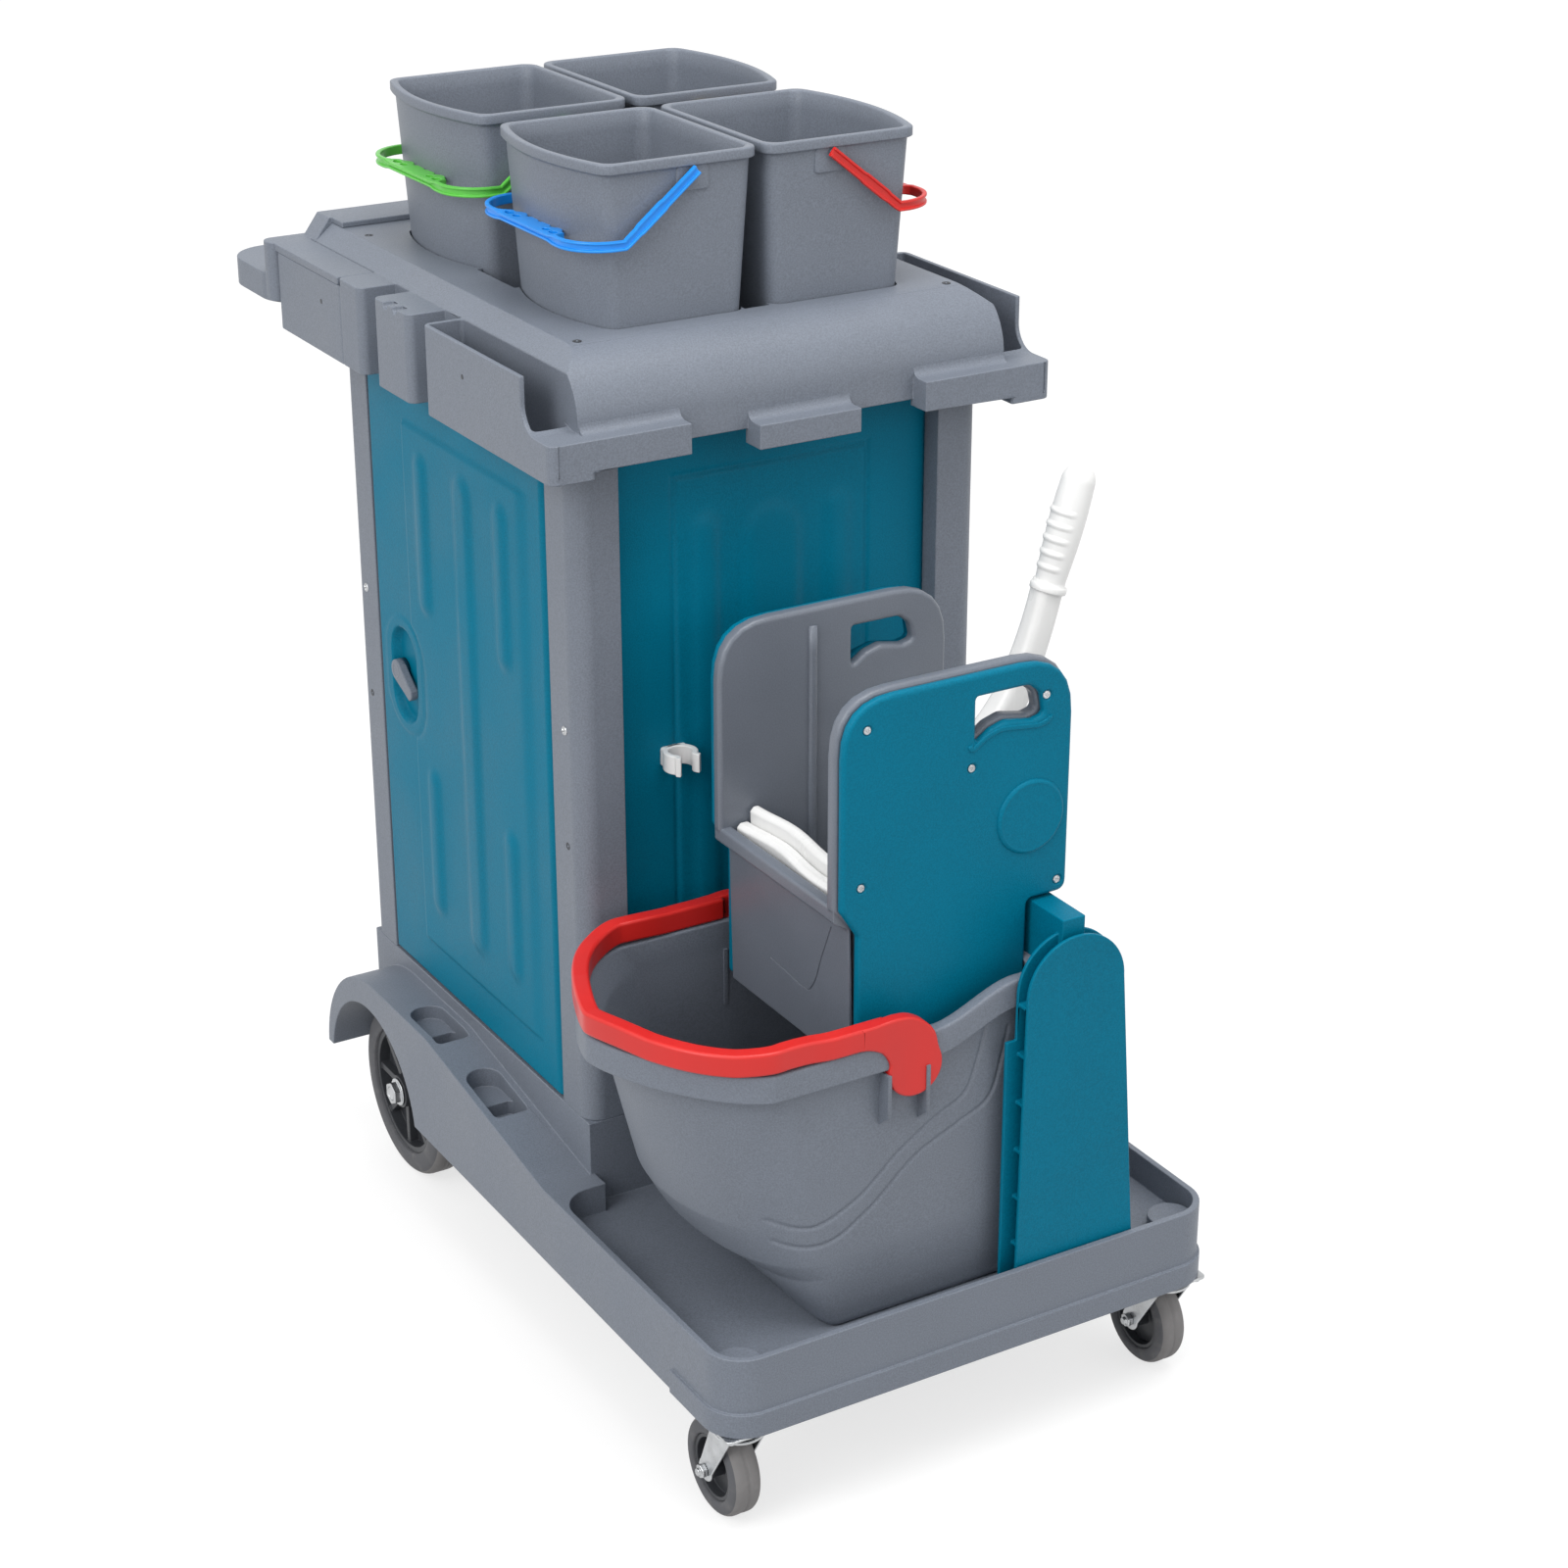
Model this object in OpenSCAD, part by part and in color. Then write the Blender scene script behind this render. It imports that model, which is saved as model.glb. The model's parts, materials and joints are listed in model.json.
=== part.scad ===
// Janitor cart: a wheeled deck that carries a mop bucket and a press wringer in its front bay,
// a two-door cabinet behind it, and a tool tray with four small buckets and a push handle on top.
// Millimetres, +Z up, +Y to the rear, +X to the right seen from the front.

/* [Deck] */
// Length from the deck's front to the rear of the push handle
cart_l = 1106; // [1096:1:1140]
// Width of the deck
deck_w = 568; // [560:1:600]
// Length of the open bay between the front rim and the cabinet
bay_l = 366; // [356:1:372]
// Height of the skirt's lower edge over the ground
deck_z = 118; // [114:1:124]
// Height of the bay's floor over the skirt's lower edge
bay_h = 52; // [46:1:58]
// Height of the bay's rim over its floor
rim_h = 33; // [26:1:40]
// Wall of the deck moulding
deck_wall = 7; // [5:0.5:8]
// Radius of the deck's front corners
deck_r = 40; // [25:1:50]
// Height of the wider band along the skirt's lower edge
band_h = 26; // [18:1:32]
// How far that band stands out
band_out = 3; // [2:0.5:5]
// How far it runs back along the deck's sides
band_l = 105; // [80:1:160]
// Height of the plinth under the cabinet, over the bay's rim
plinth_h = 59; // [54:1:70]
// Length of each hand recess in the side ledges
recess_l = 84; // [70:1:90]

/* [Wheels] */
// Diameter of the rear wheels
rear_d = 200; // [190:1:206]
// Width of the rear tyres
rear_tyre_w = 40; // [34:1:44]
// Distance from the cabinet's front to the rear axle
axle_back = 430; // [415:1:440]
// Diameter of the rear axle
axle_d = 16; // [12:1:20]
// Diameter of the caster wheels
caster_d = 100; // [94:1:104]
// Width of the caster tyres
caster_tyre_w = 30; // [24:1:32]
// Trail of the casters, from the swivel to the wheel's axle
caster_trail = 30; // [24:1:34]
// Distance of the swivels from the deck's side and front
caster_inset = 32; // [29:1:36]
// Running clearance of pins and axles, on the radius
run_gap = 0.06; // [0.04:0.01:0.1]

/* [Cabinet] */
// Width over the posts
cab_w = 458; // [454:1:468]
// Length over the posts
cab_l = 526; // [518:1:532]
// Height from the plinth to the underside of the tray
cab_h = 715; // [680:1:760]
// Width of a post, across the cart
post_x = 50; // [46:1:54]
// Depth of a post, along the cart
post_y = 57; // [52:1:60]
// Corner radius of a post
post_r = 20; // [12:1:24]
// Thickness of the fixed panels
panel_t = 8; // [5:0.5:10]
// Thickness of the doors
door_t = 22; // [18:1:24]
// Gap around the doors
door_gap = 3; // [2.5:0.5:4]
// Height of the pressed ribs on doors and panels
rib_h = 2.5; // [1:0.5:4]
// Height of the inner shelf over the plinth
shelf_h = 420; // [380:1:460]
// Height of the latches over the plinth
latch_h = 353; // [330:1:370]

/* [Tray] */
// Width over the tray's side pockets
tray_w = 552; // [544:1:570]
// Width of the raised top between its sloped borders
top_w = 430; // [424:1:436]
// Height of the raised top over the tray's underside
top_h = 92; // [86:1:100]
// Height of the side pockets over the tray's underside
side_h = 75; // [68:1:80]
// How far the tray's sides hang below its underside
side_drop = 15; // [8:1:18]
// Radius of the rounded front
fascia_r = 62; // [56:1:66]
// How far the front stands out from the cabinet
fascia_out = 30; // [24:1:34]
// How far the tray reaches behind the cabinet
tray_tail = 54; // [46:1:58]
// Wall of the tray moulding
tray_wall = 5; // [4:0.5:6]
// Width of the bucket well
well_w = 360; // [356:1:366]
// Length of the bucket well
well_l = 456; // [450:1:462]
// Depth of the bucket well
well_h = 79; // [70:1:82]
// Width of the tool slots in the tray's sides
slot_w = 34; // [30:1:38]

/* [Small buckets] */
// Width of a small bucket over its rim
pail_w = 184; // [178:1:186]
// Length of a small bucket over its rim
pail_l = 218; // [210:1:222]
// Height of a small bucket
pail_h = 236; // [220:1:250]
// How far the rounded side bulges
pail_bulge = 20; // [14:1:26]
// Draft of the walls, on each side, from rim to foot
pail_draft = 11; // [8:1:14]
// Wall of the small buckets
pail_wall = 3; // [2.5:0.5:4]
// Reach of a bail from its pivots to the grip's outer edge
bail_l = 125; // [122:1:134]
// Angle of a hanging bail's arms below the level
bail_drop = 39; // [30:1:44]

/* [Mop bucket] */
// Length from the pouring nose to the straight end
mop_l = 432; // [428:1:438]
// Width over the lip
mop_w = 316; // [310:1:317]
// Height of the lip over the bucket's foot
mop_h = 305; // [295:1:315]
// Rise of the lip at the straight end
mop_rise = 28; // [18:1:32]
// Height of the lip's skirt
lip_h = 28; // [22:1:32]
// How far the lip stands out from the wall
lip_out = 10; // [8:1:12]
// Wall of the mop bucket
mop_wall = 4; // [3:0.5:5]
// Diameter of the bail's round ends
hub_d = 76; // [70:1:80]
// Width of the bail along the lip
mop_bail_w = 18; // [15:1:20]
// Height of the bail along the lip
mop_bail_h = 22; // [18:1:25]

/* [Wringer] */
// Width over the two covers
press_w = 242; // [236:1:246]
// Length of the upper plates
press_l = 258; // [252:1:264]
// Height of the plates over the shoulder
press_h = 248; // [240:1:256]
// Depth of the narrow part below the shoulder
press_drop = 132; // [124:1:138]
// Thickness of a side plate
plate_t = 14; // [11:1:16]
// Thickness of a cover
cover_t = 10; // [8:1:12]
// Diameter of the lever's axle
pivot_d = 16; // [13:1:18]
// Travel of the moving jaw
jaw_travel = 70; // [60:1:72]
// Length of the lever from the axle to the grip's end
lever_l = 322; // [300:1:340]
// Thickness of a leg of the wringer stand
leg_t = 20; // [17:1:21]
// Width of a leg at its foot
leg_w = 142; // [134:1:146]

/* [Hidden] */
$fn = 64;
over = 1;
seat = 0.3;
grey = [0.49, 0.50, 0.54];
dark = [0.24, 0.25, 0.27];
teal = [0.03, 0.41, 0.53];
zinc = [0.74, 0.75, 0.76];
white = [0.93, 0.93, 0.92];
rubber = [0.46, 0.45, 0.46];
red = [0.92, 0.16, 0.15];
blue = [0.10, 0.52, 0.88];
green = [0.35, 0.74, 0.27];
yellow = [0.95, 0.78, 0.12];

// Stations along the cart and heights
deck_front = -cart_l / 2 + band_out;
bay_front = deck_front + deck_wall;
leg_gap = 2;
leg_room = 1;
bay_open = max(bay_l, mop_w - 2 * lip_out + 2 * (leg_room + leg_t + leg_gap));
cab_front = bay_front + bay_open;
cab_rear = cab_front + cab_l;
bay_mid = bay_front + bay_open / 2;
axle_y = cab_front + axle_back;
bay_z = deck_z + bay_h;
rim_z = bay_z + rim_h;
plinth_z = rim_z + plinth_h;
tray_z = plinth_z + cab_h;
top_z = tray_z + top_h;
side_z = tray_z + side_h;
half_w = deck_w / 2;
cab_half = cab_w / 2;

// Side ledges and fenders
ledge_lead = 22;
ledge_y = cab_front - ledge_lead;
ramp_l = 300;
fender_r = rear_d / 2 + 35;
fender_y = axle_y - 10;
fender_z = rear_d / 2 + 12;
fender_top = fender_z + fender_r;
arch_r = rear_d / 2 + 13;
well_in = cab_half - 29;
bracket_t = 7;
wheel_x = well_in + 10 + rear_tyre_w / 2;
rear_tyre_h = 26;
recess_w = 38;
recess_gap = 140;
recess_depth = 16;

// Casters
swivel_x = half_w - caster_inset;
swivel_y = deck_front + caster_inset;
plate_a = 58;
plate_th = 3;
race_h = 6;
race_d = 46;
king_d = 10;
fork_t = 3;
fork_z = deck_z - plate_th - race_h - seat;
fork_in = caster_tyre_w / 2 + 3;
caster_axle_d = 8;
caster_tyre_h = 16;

// Cabinet
post_in_x = cab_half - post_x;
door_y0 = cab_front + post_y + door_gap;
door_y1 = cab_rear - post_y - door_gap;
door_z0 = plinth_z + door_gap;
door_z1 = tray_z - side_drop - door_gap - 1;
hinge_x = cab_half - door_t / 2;
hinge_y = door_y0 + door_t / 2;
hinge_d = 8;
hinge_len = 26;
latch_y = door_y1 - 45;
latch_z = plinth_z + latch_h;
latch_d = 14;
cam_t = 4;
cam_reach = 62;
spigot_in = 10;
panel_in = 22;
post_mids = [cab_front + post_y / 2, cab_rear - post_y / 2];
spigot_h = side_h - tray_wall;
screw_d = 5;
screw_head = 10;

// Tray
core_half = cab_half + 6;
top_half = top_w / 2;
chamfer_h = top_h - side_h;
fascia_y = cab_front - fascia_out;
tray_rear = cab_rear + tray_tail;
ledge_out = 23;
ledge_z = tray_z + 23;
tray_half = tray_w / 2;
well_y = (cab_front + cab_rear) / 2 + 8;
well_z = top_z - well_h;
bin_y1 = fascia_y + 244;
block_l = 82;
block_y0 = bin_y1 + slot_w;
block_y1 = block_y0 + block_l;
tail_y0 = block_y1 + slot_w;
pad_y0 = tail_y0 + 53;
pad_t = 8;
handle_rear = cart_l / 2;

// Small buckets
pail_pitch_x = pail_w / 2 + 4;
pail_pitch_y = pail_l / 2 + 19;
pail_lip = 4;
pail_lip_h = 9;
pail_r = 15;
arc_n = 6;
bow_n = 14;
bail_t = 5;
bail_w = 10;
bail_pin_d = 7;
bail_x = 21;
bail_z = pail_h - 14;
bail_y = pail_l / 2 + seat;

// Mop bucket
mop_y = bay_mid;
mop_nose = -322;
mop_end = mop_nose + mop_l;
mop_pivot_x = mop_nose + 261;
mop_pivot_z = bay_z + mop_h - 32;
mop_half = mop_w / 2 - lip_out;
lip_z = bay_z + mop_h;
end_r = 34;
end_power = 3;
bail_over = 2;
hub_t = 13;
hub_pin_d = 16;
hub_pin_l = 8;
ring_n = 28;
side_n = 12;
side_bow = 0.6;

// Wringer
press_x0 = -122;
press_x1 = press_x0 + press_l;
shoulder_h = 390;
shoulder_z = bay_z + shoulder_h;
press_top = shoulder_z + press_h;
neck_x0 = press_x0 + 22;
neck_x1 = press_x1 - 45;
neck_z = shoulder_z - press_drop;
plate_y = press_w / 2 - cover_t;
inner_half = plate_y - plate_t;
plate_r = 58;
pivot_x = press_x1 - 48;
pivot_z = shoulder_z + 90;
jaw_t = 12;
jaw_x = pivot_x - 46;
crank_l = 61;
crank_a = 35;
crank_r = 8;
crank_y = 48;
jaw_slack = 1.3;
base_t = 6;
lever_w = 36;
lever_taper = 1.5;
knuckle = 0.6;
lever_hub_d = 40;
lever_k = lever_l / 322;
lever_path = lever_k * [[0, 0], [57, 50], [87, 112], [100, 169], [135, 290]];
bar_x0 = neck_x1 + 3;
bar_w = 26;
bar_h = 34;
bar_wall = 4;
leg_x0 = bar_x0 - 48;
leg_y = bay_open / 2 - leg_gap - leg_t;
leg_flange = 8;
leg_plate = 4;
leg_top_r = 56;
leg_top_z = shoulder_z - 14 - leg_top_r;
leg_cx = leg_x0 + 60;

// The mop bucket's nose reaches past the deck's side, so the overall middle is off the centre line
shift_x = -(mop_nose - bail_over + half_w + band_out) / 2;

// A coloured sub-part, moved from the cart's centre line to the middle of its overall width
module shown(tint) {
    color(tint) translate([shift_x, 0, 0]) children();
}

// A flat rectangle between two corners, its corners rounded
module flat(x0, x1, y0, y1, r) {
    translate([x0 + r, y0]) square([x1 - x0 - 2 * r, y1 - y0]);
    translate([x0, y0 + r]) square([x1 - x0, y1 - y0 - 2 * r]);
    for (x = [x0 + r, x1 - r], y = [y0 + r, y1 - r]) translate([x, y]) circle(r);
}

// A box between two corners
module box(x0, x1, y0, y1, z0, z1) {
    translate([x0, y0, z0]) cube([x1 - x0, y1 - y0, z1 - z0]);
}

// A flat outline drawn in Y and Z, made thick along X from x0 to x1
module along_x(x0, x1) {
    translate([x0, 0, 0]) rotate([90, 0, 90]) linear_extrude(x1 - x0) children();
}

// A flat outline drawn in X and Z, made thick along Y from y0 to y1
module along_y(y0, y1) {
    translate([0, y1, 0]) rotate([90, 0, 0]) linear_extrude(y1 - y0) children();
}

module rod_x(x0, x1, d) {
    translate([x0, 0, 0]) rotate([0, 90, 0]) cylinder(h = x1 - x0, d = d);
}

module rod_y(y0, y1, d) {
    translate([0, y0, 0]) rotate([-90, 0, 0]) cylinder(h = y1 - y0, d = d);
}

// A flat bar between two points
module strut(a, b, w) {
    run = b - a;
    translate(a) rotate(atan2(run[1], run[0])) translate([0, -w / 2]) square([norm(run), w]);
}

// A closed skin over a stack of levels
module skin(levels) {
    n = len(levels[0]);
    last = len(levels) - 1;
    polyhedron(
        points = [for (ring = levels) each ring],
        faces = concat(
            [[for (i = [0 : n - 1]) i]],
            [[for (i = [n - 1 : -1 : 0]) last * n + i]],
            [
                for (k = [0 : last - 1], i = [0 : n - 1], upper = [0, 1])
                    let (a = k * n + i, b = k * n + (i + 1) % n) upper ? [a, b + n, b] : [a, a + n, b + n]
            ]
        )
    );
}

// The same shape on the left and on the right of the cart
module both_sides() {
    children();
    mirror([1, 0, 0]) children();
}

// A shape on the left side, or its mirror image on the right
module on_side(side) {
    if (side > 0) mirror([1, 0, 0]) children();
    else children();
}

// DECK

// Side view of a ledge and its fender, in Y and Z, drawn inwards by a wall
module ledge_outline(inset) {
    difference() {
        union() {
            polygon([
                [ledge_y + inset, deck_z - inset], [ledge_y + inset, rim_z - inset],
                [ledge_y + ledge_lead + inset, rim_z - inset], [ledge_y + ramp_l, fender_top - inset],
                [fender_y, fender_top - inset], [fender_y, deck_z - inset]
            ]);
            translate([fender_y, fender_z]) circle(fender_r - inset);
        }
        translate([fender_y - 2 * fender_r, deck_z - inset - 2 * fender_r])
            square([4 * fender_r, 2 * fender_r]);
    }
}

module deck_plan(grow) {
    flat(-half_w - grow, half_w + grow, deck_front - grow, cab_front + post_y, deck_r + grow);
}

// One hand recess: a round-ended hollow, deeper at its front half
module hand_recess(y) {
    deep = recess_depth * 2;
    x = half_w - deck_wall - recess_w / 2 - 2;
    z = rim_z + (fender_top - rim_z) * min(1, (y - cab_front) / (ramp_l - ledge_lead));
    translate([-x, y, z - recess_depth]) linear_extrude(fender_top)
        flat(-recess_w / 2, recess_w / 2, -recess_l / 2, recess_l / 2, recess_w / 2 - 0.5);
    translate([-x, y, z - deep]) linear_extrude(fender_top)
        flat(-recess_w / 2, recess_w / 2, -recess_l / 2, 0, 6);
}

// The cup under a hand recess, up to the ledge that it hangs from
module recess_cup(y) {
    deep = recess_depth * 2 + 3;
    x = half_w - deck_wall - recess_w / 2 - 2;
    z = rim_z + (fender_top - rim_z) * min(1, (y - cab_front) / (ramp_l - ledge_lead));
    intersection() {
        translate([-x, y, z - deep]) linear_extrude(fender_top)
            flat(-recess_w / 2 - 3, recess_w / 2 + 3, -recess_l / 2 - 3, recess_l / 2 + 3, 9);
        along_x(-half_w + deck_wall / 2, -cab_half) ledge_outline(deck_wall / 2);
    }
}

module deck() {
    first_recess = cab_front + 165;
    shown(grey) difference() {
        union() {
            difference() {
                union() {
                    translate([0, 0, deck_z]) linear_extrude(rim_z - deck_z) deck_plan(0);
                    translate([0, 0, deck_z]) linear_extrude(band_h) intersection() {
                        deck_plan(band_out);
                        translate([-deck_w, deck_front - band_l]) square([2 * deck_w, 2 * band_l]);
                    }
                    both_sides() along_x(-half_w, -well_in) ledge_outline(0);
                    box(-cab_half, cab_half, cab_front, cab_rear, deck_z, plinth_z);
                }
                // the open bay, its floor, and the hollow under it
                translate([0, 0, bay_z]) linear_extrude(rim_h + over)
                    flat(-half_w + deck_wall, half_w - deck_wall, bay_front, ledge_y, deck_r - deck_wall);
                box(-cab_half + 6, cab_half - 6, cab_front - 60, cab_front, bay_z, rim_z + over);
                translate([0, 0, deck_z - over]) linear_extrude(bay_h - deck_wall + over)
                    flat(-half_w + deck_wall, half_w - deck_wall, bay_front, cab_front + post_y - deck_wall,
                        deck_r - deck_wall);
                box(-cab_half + deck_wall, cab_half - deck_wall, cab_front + deck_wall, cab_rear - deck_wall,
                    deck_z - over, plinth_z - deck_wall);
                both_sides() along_x(-half_w + deck_wall, -cab_half - deck_wall) ledge_outline(deck_wall);
            }
            // wheel wells, axle brackets, recess cups and the pads that the casters bolt to
            both_sides() {
                difference() {
                    translate([0, axle_y, rear_d / 2]) rod_x(-half_w, -well_in + bracket_t, 2 * arch_r + 12);
                    box(-half_w - over, 0, axle_y - 2 * arch_r, axle_y + 2 * arch_r, -arch_r, deck_z);
                }
                box(-well_in, -well_in + bracket_t, axle_y - 30, axle_y + 30, rear_d / 2 - 20, plinth_z - 2);
                for (i = [0, 1]) recess_cup(first_recess + i * recess_gap);
                translate([0, 0, deck_z]) linear_extrude(bay_h - deck_wall / 2) intersection() {
                    translate([-swivel_x, swivel_y])
                        flat(-plate_a / 2, plate_a / 2, -plate_a / 2, plate_a / 2, 8);
                    deck_plan(-deck_wall / 2);
                }
                translate([-swivel_x, swivel_y, bay_z - 2]) cylinder(h = rim_h / 2, d = plate_a * 0.8);
            }
        }
        both_sides() {
            translate([0, axle_y, rear_d / 2]) {
                rod_x(-half_w - over, -well_in, 2 * arch_r);
                rod_x(-well_in - over, -well_in + bracket_t + over, axle_d);
            }
            for (i = [0, 1]) hand_recess(first_recess + i * recess_gap);
        }
    }
}

// REAR WHEELS

module rear_axle() {
    shoulder_d = axle_d + 8;
    shown(zinc) translate([0, axle_y, rear_d / 2]) {
        rod_x(-wheel_x - rear_tyre_w / 2 - 13, wheel_x + rear_tyre_w / 2 + 13, axle_d);
        both_sides() rod_x(-wheel_x + rear_tyre_w / 2 + 3 + seat, -well_in - seat, shoulder_d);
    }
}

module axle_nuts() {
    nut_x = wheel_x + rear_tyre_w / 2 + 3 + seat;
    shown(zinc) translate([0, axle_y, rear_d / 2]) both_sides() difference() {
        union() {
            rod_x(-nut_x - 2, -nut_x, axle_d + 16);
            translate([-nut_x - 10, 0, 0]) rotate([0, 90, 0]) cylinder(h = 8, d = axle_d + 11, $fn = 6);
        }
        rod_x(-nut_x - 12, -nut_x + over, axle_d);
    }
}

// Spoked rim of one rear wheel, centred on its own axle
module rear_rim(side) {
    rim_r = rear_d / 2 - rear_tyre_h;
    hub_w = rear_tyre_w + 6;
    spokes = 8;
    shown(dark) translate([side * wheel_x, axle_y, rear_d / 2]) difference() {
        union() {
            rod_x(-hub_w / 2, hub_w / 2, axle_d + 22);
            rod_x(-3, 3, 2 * rim_r - 4);
            difference() {
                rod_x(-rear_tyre_w / 2 + 3, rear_tyre_w / 2 - 3, 2 * rim_r);
                rod_x(-rear_tyre_w, rear_tyre_w, 2 * rim_r - 14);
            }
            for (i = [0 : spokes - 1]) rotate([360 / spokes * i, 0, 0])
                box(-rear_tyre_w / 2 + 6, rear_tyre_w / 2 - 6, -4, 4, axle_d / 2 + 6, rim_r - 4);
        }
        rod_x(-hub_w, hub_w, axle_d + 2 * run_gap);
    }
}

// A tyre with round shoulders and two tread grooves, about the X axis
module tyre(outer_r, inner_r, w) {
    shoulder = min(w * 0.3, (outer_r - inner_r) / 2);
    rotate([0, 90, 0]) rotate_extrude($fn = 96) difference() {
        union() {
            translate([inner_r, -w / 2]) square([outer_r - inner_r - shoulder, w]);
            translate([inner_r, -w / 2 + shoulder]) square([outer_r - inner_r, w - 2 * shoulder]);
            for (y = [-1, 1]) translate([outer_r - shoulder, y * (w / 2 - shoulder)]) circle(shoulder);
        }
        for (y = [-1, 1]) translate([outer_r, y * w * 0.12]) circle(w * 0.03, $fn = 16);
    }
}

module rear_tyre(side) {
    shown(rubber) translate([side * wheel_x, axle_y, rear_d / 2])
        tyre(rear_d / 2, rear_d / 2 - rear_tyre_h, rear_tyre_w);
}

// CASTERS

module at_swivel(side) {
    translate([side * swivel_x, swivel_y, 0]) children();
}

module caster_plate(side) {
    head_h = 4;
    bolt_at = plate_a / 2 - 8;
    shown(zinc) at_swivel(side) {
        translate([0, 0, deck_z - plate_th]) linear_extrude(plate_th)
            flat(-plate_a / 2, plate_a / 2, -plate_a / 2, plate_a / 2, 6);
        translate([0, 0, deck_z - plate_th - race_h]) cylinder(h = race_h, d = race_d);
        translate([0, 0, fork_z - fork_t - seat - head_h]) cylinder(h = head_h + fork_t + 1, d = king_d);
        translate([0, 0, fork_z - fork_t - seat - head_h]) cylinder(h = head_h, d = king_d + 6);
        for (x = [-1, 1], y = [-1, 1])
            translate([x * bolt_at, y * bolt_at, deck_z - plate_th - head_h]) cylinder(h = head_h, d = 9);
    }
}

module caster_fork(side) {
    top_d = race_d + 4;
    axle_z = caster_d / 2;
    shown(zinc) at_swivel(side) difference() {
        union() {
            translate([0, 0, fork_z - fork_t]) cylinder(h = fork_t, d = top_d);
            for (x = [-fork_in - fork_t, fork_in]) along_x(x, x + fork_t) {
                polygon([[-top_d * 0.36, fork_z], [top_d * 0.36, fork_z],
                    [caster_trail + 12, axle_z], [caster_trail - 12, axle_z]]);
                translate([caster_trail, axle_z]) circle(12);
            }
        }
        translate([0, 0, fork_z - 2 * fork_t]) cylinder(h = 3 * fork_t, d = king_d + 2 * run_gap);
        translate([0, caster_trail, axle_z])
            rod_x(-fork_in - 2 * fork_t, fork_in + 2 * fork_t, caster_axle_d);
    }
}

module caster_bolt(side) {
    reach = fork_in + fork_t;
    shown(zinc) at_swivel(side) translate([0, caster_trail, caster_d / 2]) {
        rod_x(-reach - 9, reach + 6, caster_axle_d);
        translate([-reach - 6, 0, 0]) rotate([0, 90, 0]) cylinder(h = 6, d = 15, $fn = 6);
        translate([reach, 0, 0]) rotate([0, 90, 0]) cylinder(h = 6, d = 15, $fn = 6);
    }
}

module caster_rim(side) {
    rim_r = caster_d / 2 - caster_tyre_h;
    hub_w = 2 * fork_in - 2 * seat;
    shown(dark) at_swivel(side) translate([0, caster_trail, caster_d / 2]) difference() {
        union() {
            rod_x(-hub_w / 2, hub_w / 2, caster_axle_d + 12);
            rod_x(-3, 3, 2 * rim_r - 2);
            difference() {
                rod_x(-caster_tyre_w / 2 + 2, caster_tyre_w / 2 - 2, 2 * rim_r);
                rod_x(-caster_tyre_w, caster_tyre_w, 2 * rim_r - 9);
            }
        }
        rod_x(-hub_w, hub_w, caster_axle_d + 2 * run_gap);
    }
}

module caster_tyre(side) {
    shown(rubber) at_swivel(side) translate([0, caster_trail, caster_d / 2])
        tyre(caster_d / 2, caster_d / 2 - caster_tyre_h, caster_tyre_w);
}

// CABINET

// A post stands at the left front, and is mirrored to the other corners; the rear posts take the latch cams
module post(side, back) {
    spigot_x0 = -cab_half + spigot_in;
    spigot_x1 = -cab_half + post_x - spigot_in;
    mid = (cab_front + cab_rear) / 2;
    shown(grey) translate([0, mid, 0]) on_side(side) mirror([0, back, 0]) translate([0, -mid, 0])
        difference() {
            union() {
                translate([0, 0, plinth_z]) linear_extrude(tray_z - plinth_z) {
                    flat(-cab_half, -cab_half + post_x, cab_front, cab_front + post_y, post_r);
                    translate([-cab_half + post_x / 2, cab_front]) square([post_x / 2, post_y]);
                    translate([-cab_half, cab_front + post_y / 2]) square([post_x, post_y / 2]);
                }
                translate([0, 0, tray_z]) linear_extrude(spigot_h)
                    flat(spigot_x0, spigot_x1, cab_front + spigot_in, cab_front + post_y - spigot_in, 5);
            }
            translate([(spigot_x0 + spigot_x1) / 2, cab_front + post_y / 2, tray_z])
                cylinder(h = top_h, d = screw_d);
            if (back) box(-hinge_x - 2, -hinge_x + door_t, cab_front + post_y - 22, cab_front + post_y + over,
                latch_z - latch_d, latch_z + cam_reach + 4);
        }
}

// Pressed ribs of a door or panel, drawn flat: an upright pill
module pill(x, z, w, h) {
    translate([x, z]) flat(-w / 2, w / 2, -h / 2, h / 2, w / 2 - 0.5);
}

// A frame line, drawn flat
module frame_line(x0, x1, z0, z1, w) {
    difference() {
        flat(x0, x1, z0, z1, 14);
        flat(x0 + w, x1 - w, z0 + w, z1 - w, 14 - w);
    }
}

module panel_ribs(h) {
    z0 = plinth_z + 60;
    z1 = z0 + h - 160;
    mid = (z0 + z1) / 2;
    w = post_in_x - 40;
    frame_line(-w, w, z0, z1, 6);
    for (x = [-1, 0, 1]) pill(x * w * 0.58, mid, 38, (z1 - z0) * 0.8);
}

module front_panel() {
    y = cab_front + panel_in;
    shown(teal) {
        box(-post_in_x, post_in_x, y, y + panel_t, plinth_z, tray_z - 1);
        along_y(y - rib_h, y + 1) panel_ribs(cab_h);
    }
}

module rear_panel() {
    y = cab_rear - panel_in - panel_t;
    shown(teal) {
        box(-post_in_x, post_in_x, y, y + panel_t, plinth_z, tray_z - 1);
        along_y(y + panel_t - 1, y + panel_t + rib_h) panel_ribs(cab_h);
    }
}

module shelf() {
    z = plinth_z + shelf_h;
    y0 = cab_front + panel_in + panel_t;
    y1 = cab_rear - panel_in - panel_t;
    shown(grey) difference() {
        box(-post_in_x, post_in_x, y0, y1, z, z + 6);
        for (i = [-2 : 2]) translate([i * 60, (y0 + y1) / 2, z - over]) cylinder(h = 8, d = 20);
    }
}

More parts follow.
